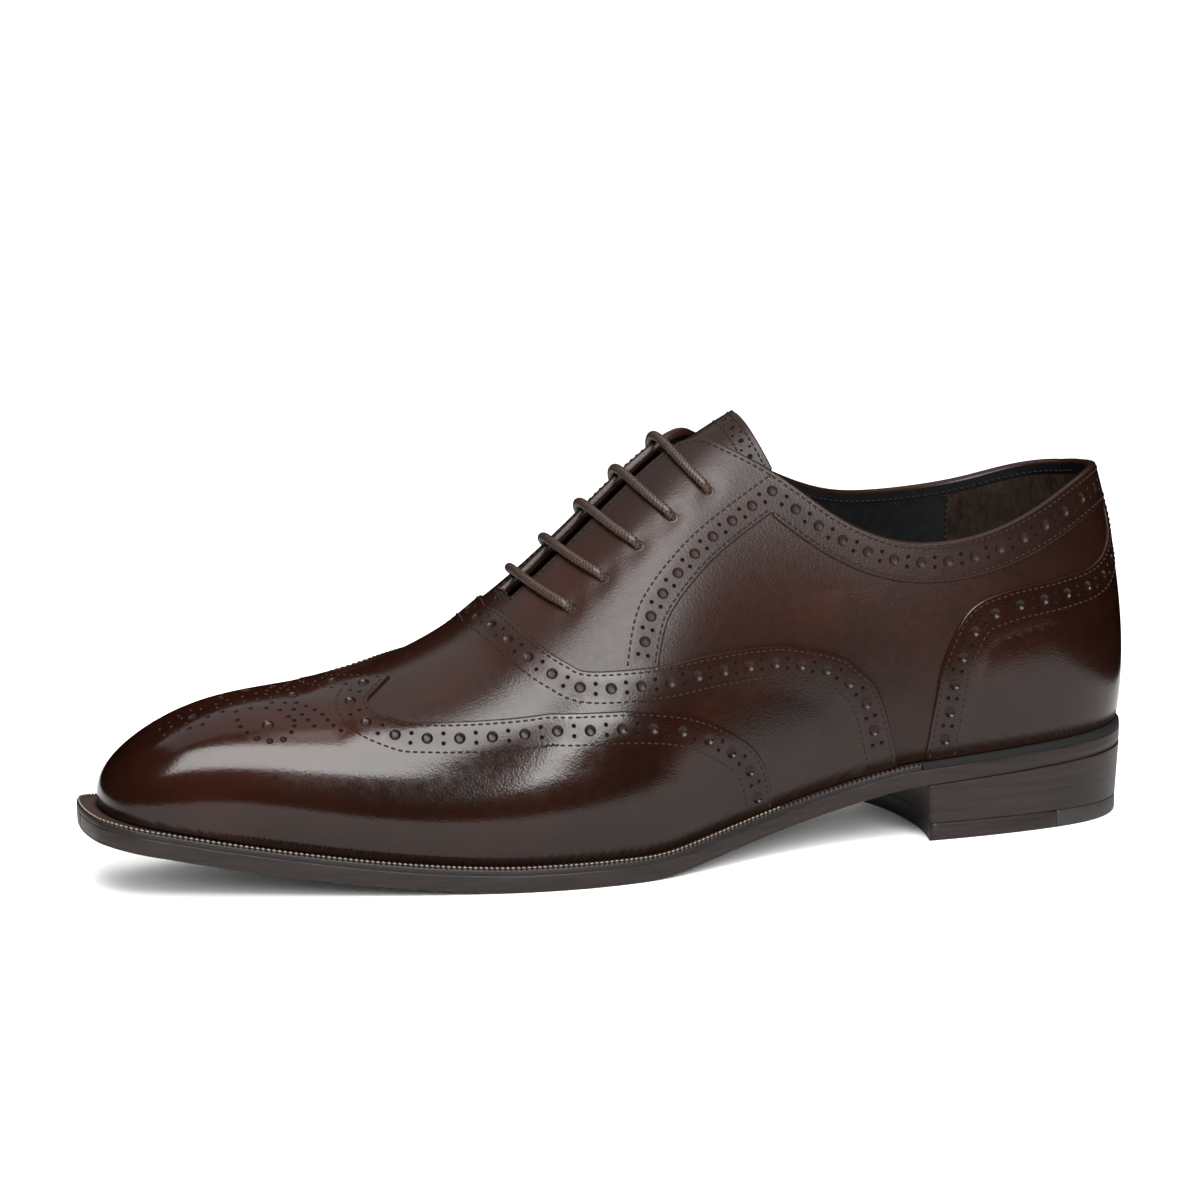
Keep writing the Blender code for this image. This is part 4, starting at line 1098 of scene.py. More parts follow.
# Medallion: distance from the heel and place to each side of the middle line
MEDAL_BIG = [(275.9, 0.0), (249.2, 0.0), (258.8, 11.4)]
MEDAL_MID = [(263.0, 14.8), (259.7, 16.2), (255.9, 16.3)]
MEDAL_SMALL = [
    (282.2, 0.0), (269.3, 0.0), (265.6, 0.0), (262.0, 0.0), (258.4, 0.0), (254.8, 0.0),
    (285.0, 2.9), (281.9, 4.4), (278.7, 5.6), (275.2, 6.0), (278.6, 2.6), (273.0, 3.6),
    (268.9, 3.2), (265.5, 4.4), (261.5, 4.2), (257.6, 5.0), (254.3, 6.4), (255.5, 2.9), (252.2, 3.6),
    (249.2, 4.2), (247.1, 6.0), (245.2, 7.8), (243.6, 9.8), (242.7, 11.9), (241.6, 13.9), (239.9, 15.8),
    (250.6, 6.8), (249.0, 9.0), (247.8, 11.1), (246.6, 13.3),
    (266.2, 7.8), (266.2, 10.2), (265.1, 12.5), (253.2, 14.4), (251.9, 12.6), (251.5, 10.8), (252.6, 9.2),
]
# Kinds of hole in it: places, radius, darkness of the painted shade
MEDALLION = ((MEDAL_BIG, 1.7, 0.35), (MEDAL_MID, 0.98, 0.8), (MEDAL_SMALL, 0.66, 1.0))


def both_sides(places):
    """Places off the middle line, set out on both sides of it."""
    s, off = np.array(places).T
    lateral = np.stack([s, axis_shift(s) - off], -1)
    medial = np.stack([s, axis_shift(s) + off], -1)
    return np.concatenate([lateral, medial[off > 0]])


wing_height = lap_height(wing_edge, WING_HIGH, WING_FALL)
rows, big, small = lapped_strip(wing_edge, WING_PITCH)
holes = strip_holes(big, small)
holes += [(both_sides(places), radius, HOLE_DEEP, dark) for places, radius, dark in MEDALLION]
cuts = [wing_edge[LATERAL], wing_edge[MEDIAL][::-1]]
points, faces, lean, marks = cut_leather(lapped_outline(wing_edge, None), wing_height, cuts, holes, rows)
mesh_piece("wing_cap", points, faces, POLISHED, ("wing_cap",), normals=lean, marks=marks)
sew("wing_stitches", rows, wing_height)

# Lining
# Dark glazed lining leather glued inside the quarters, with a suede heel grip sewn in behind it. One
# folded strip binds lining and outer leather together along the topline and both lace edges.
LINING_LOW, GRIP_LOW, GRIP_FRONT, GRIP_DROP = -2.0, -2.25, 38.0, 3.2
GRIP_POINTS, GRIP_FOOT = 60, 0.02
BIND_REACH, BIND_OVER, BIND_STEPS, BIND_PAST = 0.9, 0.3, 13, 1.5
BIND_EDGE, BIND_TONE = 0.3, 0.45
LINING_ROW, SHORT_STEP = 2.2, 0.5


def lining_kid():
    """Glazed lining kid, navy black: a close grain with soft creases about 3 mm wide."""
    look, tree, shader = finish_named("glazed lining kid", IOR=1.5)
    place = node(tree, "ShaderNodeTexCoord").outputs["Object"]
    cloud = node(tree, "ShaderNodeTexNoise", Vector=place, Scale=1000 / 9.0, Detail=3.0).outputs["Fac"]
    fine = node(tree, "ShaderNodeTexNoise", Vector=place, Scale=1000 / 3.0, Detail=4.0).outputs["Fac"]
    dye = node(tree, "ShaderNodeMix", COLOURS, i0=cloud, i6=linear("040506"), i7=linear("0a0b0e"))
    rub = node(tree, "ShaderNodeMath", SCALED_SUM, i0=fine, i1=0.2, i2=0.36)
    bump = node(tree, "ShaderNodeBump", Strength=0.3, Distance=0.0003, Height=fine)
    fill(tree, shader, Base_Color=dye.outputs[2], Roughness=rub.outputs[0], Normal=bump.outputs[0])
    return look


def grip_suede():
    """Brown suede, flesh side out: a dull nap of short brushed strokes with lighter rubbed patches."""
    look, tree, shader = finish_named("heel grip suede", Roughness=0.95, Specular_IOR_Level=0.1)
    place = node(tree, "ShaderNodeTexCoord").outputs["Object"]
    lay = node(tree, "ShaderNodeMapping", Vector=place, Scale=(1.0, 1.0, 0.35), Rotation=(0.5, 0.4, 0.0))
    nap = node(tree, "ShaderNodeTexNoise", Vector=lay.outputs[0],
               Scale=1000 / 1.4, Detail=5.0, Roughness=0.7).outputs["Fac"]
    blotch = node(tree, "ShaderNodeTexNoise", Vector=place, Scale=1000 / 8.0, Detail=3.0).outputs["Fac"]
    mixed = node(tree, "ShaderNodeMath", SCALED_SUM, i0=blotch, i1=0.8, i2=nap)
    share = node(tree, "ShaderNodeMapRange", i0=mixed.outputs[0], i1=0.6, i2=1.25)
    dye = node(tree, "ShaderNodeMix", COLOURS, i0=share.outputs[0], i6=linear("0f0a08"), i7=linear("2e221b"))
    bump = node(tree, "ShaderNodeBump", Strength=0.8, Distance=0.0004, Height=nap)
    fill(tree, shader, Base_Color=dye.outputs[2], Normal=bump.outputs[0])
    return look


LINING_KID, GRIP_SUEDE = lining_kid(), grip_suede()


def even_height(high):
    """A height function that is the same all over."""
    def read(flat):
        return np.full(flat.shape[:-1], high)
    return read


w_front = {side: lasted(under_vamp[side][-1:])[0][0] for side in under_vamp}
outline = np.concatenate([
    rim[LATERAL][::-1], rim[MEDIAL][1:], under_vamp[MEDIAL], feather_between(w_front[MEDIAL], 2.0)[1:-1],
    feather_between(0.0, w_front[LATERAL])[:-1], under_vamp[LATERAL][::-1]])
points, faces, lean, _ = cut_leather(outline, even_height(LINING_LOW), skirt=0)
mesh_piece("lining", points, faces[:, ::-1], LINING_KID, normals=-lean)

grip_rim, grip_front = {}, {}
w_grip = float(station_of(GRIP_FRONT))
for side, w in ((LATERAL, w_grip), (MEDIAL, 2 - w_grip)):
    curve = inset(rim[side], side * GRIP_DROP)
    grip_rim[side] = curve[curve[:, 0] < GRIP_FRONT]
    share = np.linspace(lasted(grip_rim[side][-1:])[1][0], GRIP_FOOT, GRIP_POINTS)
    grip_front[side] = flat_of(np.full(GRIP_POINTS, w), share)
outline = np.concatenate([
    grip_rim[LATERAL][::-1], grip_rim[MEDIAL], grip_front[MEDIAL], feather_between(2 - w_grip, 2.0)[1:-1],
    feather_between(0.0, w_grip)[1:-1], grip_front[LATERAL][::-1]])
points, faces, lean, _ = cut_leather(outline, even_height(GRIP_LOW), skirt=0)
mesh_piece("heel_grip", points, faces[:, ::-1], GRIP_SUEDE, normals=-lean)
rows = [inset(rim[side], side * LINING_ROW) for side in (LATERAL, MEDIAL)]
rows = [row[row[:, 0] < TOPLINE[-1, 0]] for row in rows]
rows += [grip_front[side][:GRIP_POINTS // 2] for side in (LATERAL, MEDIAL)]
BLACK_THREAD = waxed_thread("black linen thread", "040404", "0b0a0a")
sew("lining_stitches", rows, even_height(GRIP_LOW), -1, BLACK_THREAD)


def strip_faces(rows, columns, closed=False):
    """Quads of a grid of rows by columns, the columns joined round when closed."""
    ids = np.arange(rows * columns).reshape(rows, columns)
    after = np.roll(ids, -1, axis=1) if closed else ids[:, 1:]
    here = ids if closed else ids[:, :-1]
    return np.stack([here[:-1], after[:-1], after[1:], here[1:]], -1).reshape(-1, 4)


def bound_edge(curve):
    """A half round carried along the rim: the gauge across it, a short reach towards the opening."""
    points, up = lie(curve, even_height(0.0))
    out = on_last(curve + SHORT_STEP * square_to(curve)) - points
    out = unit(out - (out * up).sum(-1, keepdims=True) * up)
    middle = (FACING_HIGH + LINING_LOW) / 2
    half = (FACING_HIGH - LINING_LOW) / 2
    turn = np.linspace(-BIND_OVER, np.pi + BIND_OVER, BIND_STEPS)[None, :, None]
    return (points[:, None] + (middle + half * np.cos(turn)) * up[:, None]
            + BIND_REACH * np.sin(turn) * out[:, None])


bound = {side: rim[side][rim[side][:, 0] < THROAT_END + BIND_PAST] for side in rim}
grid = bound_edge(np.concatenate([bound[MEDIAL][::-1], bound[LATERAL][1:]]))
count = grid.size // 3
marks = {"edge": np.full(count, BIND_EDGE), "pit": np.zeros(count), "tone": np.full(count, BIND_TONE)}
faces = strip_faces(*grid.shape[:2])[:, ::-1]
mesh_piece("topline_binding", grid.reshape(-1, 3), faces, CALF, marks=marks)

# Tongue
# A tongue of the same calf on its own lining, sewn in under the throat and showing above the
# facings, with two sewn rows round its top.
TONGUE_TOP, TONGUE_CROWN, TONGUE_FRONT = 120.0, 7.0, 192.0
TONGUE_HALF = np.array([(110.0, 29.0), (125.0, 26.0), (190.0, 13.0)])
TONGUE_HIGH, TONGUE_GAUGE = -3.9, 1.4
TONGUE_ROWS, TONGUE_SHOWN, TONGUE_PITCH = (1.8, 6.6), 150.0, 6.0
TONGUE_ROUND, TONGUE_SIDE, TONGUE_FOOT, TONGUE_TRUE = 1.3, 80, 30, 0.94
# Holes of the tongue: radius, depth, darkness of the painted shade
TONGUE_BOWL, TONGUE_PRICK = (0.85, 0.5, 0.9), (0.45, 0.4, 1.0)


def tongue_flat(across, along):
    """Flat place of a tongue point: across from -1 to 1, along from 0 at the top to 1 at the front."""
    top = TONGUE_TOP - TONGUE_CROWN * np.abs(across)**TONGUE_ROUND
    s = top + (TONGUE_FRONT - top) * along
    half = np.interp(s, TONGUE_HALF[:, 0], TONGUE_HALF[:, 1])
    return np.stack([s, axis_shift(s) + across * half], -1)


span = np.linspace(0, 1, TONGUE_SIDE)
side_line = np.ones(TONGUE_SIDE)
across = np.linspace(-1, 1, TONGUE_SIDE)[1:-1]
tongue_rim = np.concatenate([
    tongue_flat(-side_line, span[::-1]), tongue_flat(across, 0 * across), tongue_flat(side_line, span)])
tongue_rim = evenly(tongue_rim, OUTLINE_PITCH)
across = np.linspace(1, -1, TONGUE_FOOT)[1:-1]
outline = np.concatenate([tongue_rim, tongue_flat(across, 0 * across + 1)])


def tongue_inset(gap):
    """The part that shows of a line round the tongue a gap inside its rim, with no loops at the corners."""
    line = inset(tongue_rim, -gap)
    far = np.linalg.norm(on_last(line)[:, None] - on_last(tongue_rim)[None], axis=2).min(axis=1)
    return line[(far > TONGUE_TRUE * gap) & within(line, outline) & (line[:, 0] < TONGUE_SHOWN)]


rows = [tongue_inset(gap) for gap in TONGUE_ROWS]
big, small = brogue_along(tongue_inset(sum(TONGUE_ROWS) / 2), TONGUE_PITCH)
holes = [(big, *TONGUE_BOWL), (small, *TONGUE_PRICK)]
cuts = [tongue_rim[::-1]]
points, faces, lean, marks = cut_leather(outline, even_height(TONGUE_HIGH), cuts, holes, rows, TONGUE_GAUGE)
mesh_piece("tongue", points, faces, CALF, ("tongue",), normals=lean, marks=marks)
sew("tongue_stitches", rows, even_height(TONGUE_HIGH))

# Lace
# One braided cotton cord, waxed, laced straight: bars over the throat, flattened legs under the
# facings from one eyelet to the next, its two ends put away under the fourth and the top eyelet.
CORD_HALF, BAR_HIGH, LEG_HIGH, LEG_FLAT = 1.35, 2.45, -2.85, 0.5
BRAID_PITCH, BRAID_DEEP, CORD_STEP, CORD_CORNERS = 2.2, 0.12, 0.30, 20
EYELET_TURN, EYELET_SINK = 0.9, 1.0
BAR_POINTS, LEG_POINTS, LEG_SKIP, LEG_BOW = 81, 25, 3, 2.2
CORD_EASE, STRANDS, CROWN_FROM = 9, 2, 0.75


def waxed_cord():
    """Waxed braided cotton: dark brown, paler on the crowns of the braid."""
    look, tree, shader = finish_named("waxed braided cotton", Roughness=0.42)
    place = node(tree, "ShaderNodeTexCoord").outputs["Object"]
    fluff = node(tree, "ShaderNodeTexNoise", Vector=place, Scale=1000 / 0.6, Detail=3.0).outputs["Fac"]
    crown = node(tree, "ShaderNodeAttribute", {"attribute_name": "edge"}).outputs["Fac"]
    pale_crowns = node(tree, "ShaderNodeMath", {"operation": "MULTIPLY"}, i0=crown, i1=fluff)
    dye = node(tree, "ShaderNodeMix", COLOURS, i0=pale_crowns.outputs[0], i6=linear("150c08"), i7=linear("5a4438"))
    bump = node(tree, "ShaderNodeBump", Strength=0.4, Distance=0.0001, Height=fluff)
    fill(tree, shader, Base_Color=dye.outputs[2], Normal=bump.outputs[0])
    return look


def bar_path(number, way):
    """Flat places, heights and flatness of one bar, going down into the eyelets at its ends."""
    share = np.linspace(-1, 1, BAR_POINTS) * way
    s = LACE_AT[number] - LACE_SWEEP * share**2
    flat = np.stack([s, axis_shift(s) + EYELET_GIRTH * share], -1)
    end = np.clip((np.abs(share) - EYELET_TURN) / (1 - EYELET_TURN), 0, 1)
    return flat, BAR_HIGH - (BAR_HIGH + EYELET_SINK) * end**2, 0 * share


def leg_path(side, first, last, aside=0.0):
    """Flat places, heights and flatness of a hidden leg under the facing, bowed aside in its middle."""
    spots = eyelets(side)
    u = np.linspace(0, 1, LEG_POINTS)[LEG_SKIP:-LEG_SKIP]
    flat = spots[first] + (spots[last] - spots[first]) * u[:, None]
    flat[:, 1] += side * aside * np.sin(np.pi * u)
    return flat, np.full(len(u), LEG_HIGH), np.ones(len(u))


LACE_RUN = [
    bar_path(3, 1), leg_path(MEDIAL, 3, 1, LEG_BOW), bar_path(1, -1), leg_path(LATERAL, 1, 0),
    bar_path(0, 1), leg_path(MEDIAL, 0, 2, -LEG_BOW), bar_path(2, -1), leg_path(LATERAL, 2, 4),
    bar_path(4, 1)]
flat, high, flatness = [np.concatenate(part) for part in zip(*LACE_RUN)]
ground, up = lie(flat, even_height(0.0))
route = ground + high[:, None] * up
run = run_along(route)
LACE_LENGTH = run[-1]
at = np.arange(0, LACE_LENGTH, CORD_STEP)
route, up = [np.stack([np.interp(at, run, column) for column in part.T], -1) for part in (route, up)]
flatness = np.interp(at, run, flatness)
weights = np.hanning(CORD_EASE) / np.hanning(CORD_EASE).sum()
eased = slice(CORD_EASE // 2, -(CORD_EASE // 2))
route[eased] = np.stack([np.convolve(column, weights, "valid") for column in route.T], -1)
ahead = unit(np.gradient(route, axis=0))
wide = unit(np.cross(up, ahead))
over = np.cross(ahead, wide)
turn = (np.arange(CORD_CORNERS) * 2 * np.pi / CORD_CORNERS)[None, :]
beat = at[:, None] * 2 * np.pi / BRAID_PITCH
braid = np.maximum(np.abs(np.sin(turn * STRANDS + beat)), np.abs(np.sin(turn * STRANDS - beat)))
crown = np.clip((braid - CROWN_FROM) / (1 - CROWN_FROM), 0, 1)
radius = CORD_HALF - BRAID_DEEP * (1 - crown)
squash = 1 - (1 - LEG_FLAT) * flatness[:, None]
points = (route[:, None] + (radius * np.cos(turn))[..., None] * wide[:, None]
          + (radius * squash * np.sin(turn))[..., None] * over[:, None])


def capped(grid):
    """A closed body from rings of points: bands of triangles and a fan on a middle point at each end."""
    rows, columns = grid.shape[:2]
    quads = strip_faces(rows, columns, closed=True)
    first = np.arange(columns)
    last = first + (rows - 1) * columns
    tips = np.full(columns, rows * columns)
    faces = [quads[:, :3], quads[:, [0, 2, 3]], np.stack([np.roll(first, -1), first, tips], -1),
             np.stack([last, np.roll(last, -1), tips + 1], -1)]
    middles = np.stack([grid[0].mean(axis=0), grid[-1].mean(axis=0)])
    return np.concatenate([grid.reshape(-1, 3), middles]), np.concatenate(faces)


points, faces = capped(points)
mesh_piece("lace", points, faces, waxed_cord(), ["lace_bar_%d" % k for k in range(1, 6)],
           marks={"edge": np.concatenate([crown.ravel(), np.zeros(2)])})

# Insole
# A dark leather sock on the insole board, at the bottom of the shoe and seen through the opening.
# Section: share of the way from the lateral to the medial side, draw-in, height
INSOLE_SECTION = np.array([
    (0.0, 2.9, 4.85), (0.0, 2.9, 7.6), (0.0, 3.3, 8.3), (0.0, 4.1, 8.6), (0.2, 4.1, 8.6), (0.4, 4.1, 8.6),
    (0.6, 4.1, 8.6), (0.8, 4.1, 8.6), (1.0, 4.1, 8.6), (1.0, 3.3, 8.3), (1.0, 2.9, 7.6), (1.0, 2.9, 4.85),
])
INSOLE_ENDS, SOLE_LINES = (0.03, 0.97), 160


def set_down(s, y, z):
    """Points of the frame from distance from the heel, side position and height."""
    return np.stack([PLACE[0] - s, PLACE[1] + y, z + 0 * s], -1)


def sole_body(section, ends, stand):
    """Cross-sections of a sole layer from heel to toe, each from the lateral edge over to the medial."""
    w = np.linspace(*ends, SOLE_LINES)[:, None]
    share, shrink, rise = section.T
    s0, y0 = grown_line(w, stand * welt_stand(w) - shrink)
    s1, y1 = grown_line(2 - w, stand * welt_stand(w) - shrink)
    s = s0 * (1 - share) + s1 * share
    y = y0 * (1 - share) + y1 * share
    return capped(set_down(s, y, underside(s) + rise)[:, ::-1])


points, faces = sole_body(INSOLE_SECTION, INSOLE_ENDS, 0.0)
mesh_piece("insole", points, faces, LINING_KID, ("insole",))

# Welt
# A flat leather welt sewn round the forepart, its top wheeled with fine notches over stitches painted
# pale as highlight, and its edge trimmed close to the outsole's.
WELT_BACK, WELT_LOW, WELT_STEP = 74.0, 4.85, 0.24
WHEEL_PITCH, WHEEL_DEEP, WHEEL_ROUND = 1.44, 0.5, 1.5
# Section of the welt: share of the stand and further draw-in from the sole's edge, height, notch share
WELT_SECTION = np.array([
    (0.95, 0.0, 6.85, 0.0), (0.75, 0.0, 6.95, 0.7), (0.62, 0.0, 7.0, 1.0), (0.0, 1.2, 7.0, 0.5),
    (0.0, 0.95, 7.0, 1.0), (0.0, 0.7, 6.95, 1.0), (0.0, 0.45, 6.8, 0.8), (0.0, 0.15, 6.45, 0.35),
    (0.0, 0.04, 6.0, 0.0), (0.0, 0.02, 5.2, 0.0), (0.0, 0.02, 4.87, 0.0),
])
WELT_INSIDE, WELT_TUCK, EDGE_SAMPLES = 2.2, 0.1, 4001
WELT_THREAD_LONG, WELT_THREAD_HALF, WELT_THREAD_IN, WELT_THREAD_BACK = 1.0, 0.19, 0.62, 118.0


def edge_leather(name, dark, warm, long_mm, rough):
    """Sole leather cut across the hide, inked and burnished: fine level streaks with a low polish.

    The crowns between wheeled notches are painted lighter brown, a painted highlight.
    """
    look, tree, shader = finish_named(name, IOR=1.42)
    place = node(tree, "ShaderNodeTexCoord").outputs["Object"]
    lay = node(tree, "ShaderNodeMapping", Vector=place, Scale=(1.0, 1.0, 14.0))
    streak = node(tree, "ShaderNodeTexNoise", Vector=lay.outputs[0],
                  Scale=1000 / long_mm, Detail=4.0, Roughness=0.65).outputs["Fac"]
    share = node(tree, "ShaderNodeMapRange", i0=streak, i1=0.34, i2=0.68)
    dye = node(tree, "ShaderNodeMix", COLOURS, i0=share.outputs[0], i6=linear(dark), i7=linear(warm))
    crown = node(tree, "ShaderNodeAttribute", {"attribute_name": "crown"}).outputs["Fac"]
    # Painted highlight: the crowns between the notches are lighter brown
    crown_highlight = node(tree, "ShaderNodeMix", COLOURS, i0=crown, i6=dye.outputs[2], i7=linear("35221a"))
    rub = node(tree, "ShaderNodeMath", SCALED_SUM, i0=streak, i1=0.25, i2=rough)
    bump = node(tree, "ShaderNodeBump", Strength=0.35, Distance=0.0003, Height=streak)
    fill(tree, shader, Base_Color=crown_highlight.outputs[2], Roughness=rub.outputs[0], Normal=bump.outputs[0])
    return look


WELT_LEATHER = edge_leather("inked welt leather", "080504", "120b08", 5.0, 0.40)
EDGE_INK = edge_leather("burnished edge ink", "100a08", "20130e", 18.0, 0.34)
STACK_LEATHER = edge_leather("stacked heel leather", "100a08", "22140f", 20.0, 0.34)
# The rand's near black is painted shade, for the dark gap under the counter
RAND_SHADE_LEATHER = edge_leather("rand leather painted with shade", "040302", "090604", 5.0, 0.70)


def even_stations(w0, w1, pitch):
    """Stations between two, an even pitch apart along the sole's edge, and their run."""
    w = np.linspace(w0, w1, EDGE_SAMPLES)
    run = run_along(np.stack(grown_line(w, welt_stand(w)), -1))
    at = np.arange(0, run[-1], pitch)
    return np.interp(at, run, w), at


def edge_strip(w, section, notch):
    """A section carried along the sole's edge, its marked heights lowered by a notch at each station."""
    stand = welt_stand(w)[:, None]
    inside = np.full_like(stand, -WELT_INSIDE)
    share, draw, high, deep = section.T
    reach = np.concatenate([inside, stand * (1 - share) - draw, inside], axis=1)
    rise = high - notch[:, None] * deep
    rise = np.concatenate([rise[:, :1] - WELT_TUCK, rise, inside * 0 + WELT_LOW], axis=1)
    crown = (1 - notch / notch.max())[:, None] * np.concatenate([[0.0], deep, [0.0]])
    s, y = grown_line(w[:, None], reach)
    points, faces = capped(set_down(s, y, underside(s) + rise)[:, ::-1])
    return points, faces, {"crown": np.concatenate([crown[:, ::-1].ravel(), np.zeros(2)])}


w_back = float(station_of(WELT_BACK))
w, at = even_stations(w_back, 2 - w_back, WELT_STEP)
notch = WHEEL_DEEP * (1 - (0.5 + 0.5 * np.cos(at * 2 * np.pi / WHEEL_PITCH))**WHEEL_ROUND)
points, faces, marks = edge_strip(w, WELT_SECTION, notch)
mesh_piece("welt", points, faces, WELT_LEATHER, ("welt",), marks=marks)

# Painted highlight: the welt stitches are pale and sewn only on the lit front, from WELT_THREAD_BACK forward
w_thread = float(station_of(WELT_THREAD_BACK))
w, _ = even_stations(w_back, 2 - w_back, WHEEL_PITCH)
w = w[(w > w_thread) & (w < 2 - w_thread)]
s, y = grown_line(w, welt_stand(w) - WELT_THREAD_IN)
place = set_down(s, y, underside(s) + WELT_SECTION[:, 2].max())
run = unit(np.gradient(place, axis=0))
up = np.broadcast_to(np.array([0.0, 0.0, 1.0]), run.shape)
LIT_WELT_THREAD = waxed_thread("pale welt thread", "4a4038", "93867a")
stitches("welt_stitches", place, run, up, WELT_THREAD_LONG, WELT_THREAD_HALF, LIT_WELT_THREAD)

# Heel rand
# The strip that carries the welt's line round the heel seat, ribbed finely on its edge.
RAND_FRONT = 73.6
RIB_PITCH, RIB_DEEP = 0.96, 0.12
# Section as the welt's
RAND_SECTION = np.array([
    (0.95, 0.0, 6.9, 0.0), (0.0, 1.1, 7.0, 0.3), (0.0, 0.7, 6.95, 1.0), (0.0, 0.4, 6.75, 1.0),
    (0.0, 0.15, 6.4, 1.0), (0.0, 0.05, 5.6, 0.0), (0.0, 0.03, 5.2, 0.0), (0.0, 0.02, 4.87, 0.0),
])
w_rand = float(station_of(RAND_FRONT))
w, at = even_stations(-w_rand, w_rand, WELT_STEP)
notch = RIB_DEEP * (0.5 + 0.5 * np.cos(at * 2 * np.pi / RIB_PITCH))
points, faces, _ = edge_strip(w, RAND_SECTION, notch)
mesh_piece("heel_rand", points, faces, RAND_SHADE_LEATHER, ("heel_rand",))

# Outsole
# A single leather sole, its edge inked dark, polished and bevelled at the foot.
# Section as the insole's
OUTSOLE_ENDS = (0.002, 0.998)
OUTSOLE_SECTION = np.array([
    (0.0, 1.0, 0.0), (0.0, 0.35, 0.15), (0.0, 0.08, 0.75),
    (0.0, 0.2, 0.95), (0.0, 0.05, 1.15), (0.0, 0.0, 2.4),
    (0.0, 0.0, 4.2), (0.0, 0.0, 4.8), (0.0, 0.03, 4.84), (0.2, 0.5, 4.84), (0.5, 0.5, 4.84), (0.8, 0.5, 4.84),
    (1.0, 0.03, 4.84), (1.0, 0.0, 4.8), (1.0, 0.0, 4.2), (1.0, 0.0, 2.4), (1.0, 0.05, 1.15), (1.0, 0.2, 0.95),
    (1.0, 0.08, 0.75), (1.0, 0.35, 0.15), (1.0, 1.0, 0.0), (0.8, 1.0, 0.0), (0.5, 1.0, 0.0), (0.2, 1.0, 0.0),
])
points, faces = sole_body(OUTSOLE_SECTION, OUTSOLE_ENDS, 1.0)
mesh_piece("outsole", points, faces, EDGE_INK, ("outsole",))

# Heel
# Leather lifts stacked and pegged under the seat, trimmed together with a curved breast, on a top
# lift with a rubber tip let into its back.
HEEL_BREAST, BREAST_CURVE, STACK_OUT, STACK_RAKE = 72.0, 5.0, (1.97, 1.1), 1.0
TOP_LIFT_HIGH, LIFT_OUT, LIFT_RAKE = 5.2, 1.05, 1.2
TIP_FRONT, TIP_BOW, PIECE_GAP = 30.0, 7.0, 0.06
LIFTS, LIFT_GROOVE, LIFT_LINE = 4, 0.02, 0.02
# A top lift from the floor up: draw-in, height
LIFT_RUNGS = ((0.5, 0.0), (0.1, 0.4), (0.0, 0.9), (0.0, TOP_LIFT_HIGH - 0.5), (0.25, TOP_LIFT_HIGH))
HEEL_STEPS, BREAST_STEPS, TIP_STEPS = 121, 41, 25


def bowed(start, end, bow, steps):
    """Points between two corners, drawn back to the heel by a parabola."""
    u = np.linspace(-1, 1, steps)[1:-1]
    line = np.linspace(start, end, steps)[1:-1]
    line[:, 0] -= bow * (1 - u**2)
    return line


def heel_outline(out, front, bow, back=None, back_bow=0.0):
    """Heel seen from above, from the curved front edge round the back or to a back edge."""
    far = float(station_of(front))
    if back is None:
        arc = np.stack(grown_line(np.linspace(-far, far, HEEL_STEPS), out), -1)
        return np.concatenate([arc, bowed(arc[-1], arc[0], bow, BREAST_STEPS)])
    near = float(station_of(back))
    medial = np.stack(grown_line(np.linspace(-far, -near, TIP_STEPS), out), -1)
    lateral = np.stack(grown_line(np.linspace(near, far, TIP_STEPS), out), -1)
    rear = bowed(medial[-1], lateral[0], back_bow, BREAST_STEPS)
    return np.concatenate([medial, rear, lateral, bowed(lateral[-1], medial[0], bow, BREAST_STEPS)])


def heel_rings(share, groove, low):
    """Rings of the heel from share 0 at the foot to 1 at the seat, each drawn in by its groove."""
    rings = []
    for up_share, draw in zip(share, groove):
        out = STACK_OUT[1] + (STACK_OUT[0] - STACK_OUT[1]) * up_share - draw
        ring = heel_outline(out, HEEL_BREAST - STACK_RAKE * (1 - up_share) - draw, BREAST_CURVE)
        seat = underside(ring[:, 0]) - PIECE_GAP
        rings.append(set_down(*ring.T, low + (seat - low) * up_share))
    return np.stack(rings)


lines = np.arange(1, LIFTS) / LIFTS
share = [[0.0, LIFT_LINE, 1 - LIFT_LINE, 1.0], lines, lines - LIFT_LINE, lines + LIFT_LINE]
share = np.sort(np.concatenate(share))
groove = np.where(np.isin(share, lines), LIFT_GROOVE, 0.0)
groove[[0, -1]] = LIFT_GROOVE
points, faces = capped(heel_rings(share, groove, TOP_LIFT_HIGH + PIECE_GAP))
mesh_piece("heel_stack", points, faces, STACK_LEATHER, ("heel_stack",))


def lift_body(outline_at):
    """A flat lift from the floor up, softened at its edges; outline_at gives its outline for a draw-in."""
    return capped(np.stack([set_down(*outline_at(draw).T, high) for draw, high in LIFT_RUNGS]))


def rubber():
    """Hard black rubber, moulded and scuffed: grey black, dull, with a fine 0.8 mm mottle."""
    look, tree, shader = finish_named("black heel rubber", IOR=1.5)
    place = node(tree, "ShaderNodeTexCoord").outputs["Object"]
    mottle = node(tree, "ShaderNodeTexNoise", Vector=place, Scale=1000 / 0.8, Detail=3.0).outputs["Fac"]
    dye = node(tree, "ShaderNodeMix", COLOURS, i0=mottle, i6=linear("0f0e0d"), i7=linear("2a2725"))
    rub = node(tree, "ShaderNodeMath", SCALED_SUM, i0=mottle, i1=0.3, i2=0.4)
    bump = node(tree, "ShaderNodeBump", Strength=0.3, Distance=0.0002, Height=mottle)
    fill(tree, shader, Base_Color=dye.outputs[2], Roughness=rub.outputs[0], Normal=bump.outputs[0])
    return look


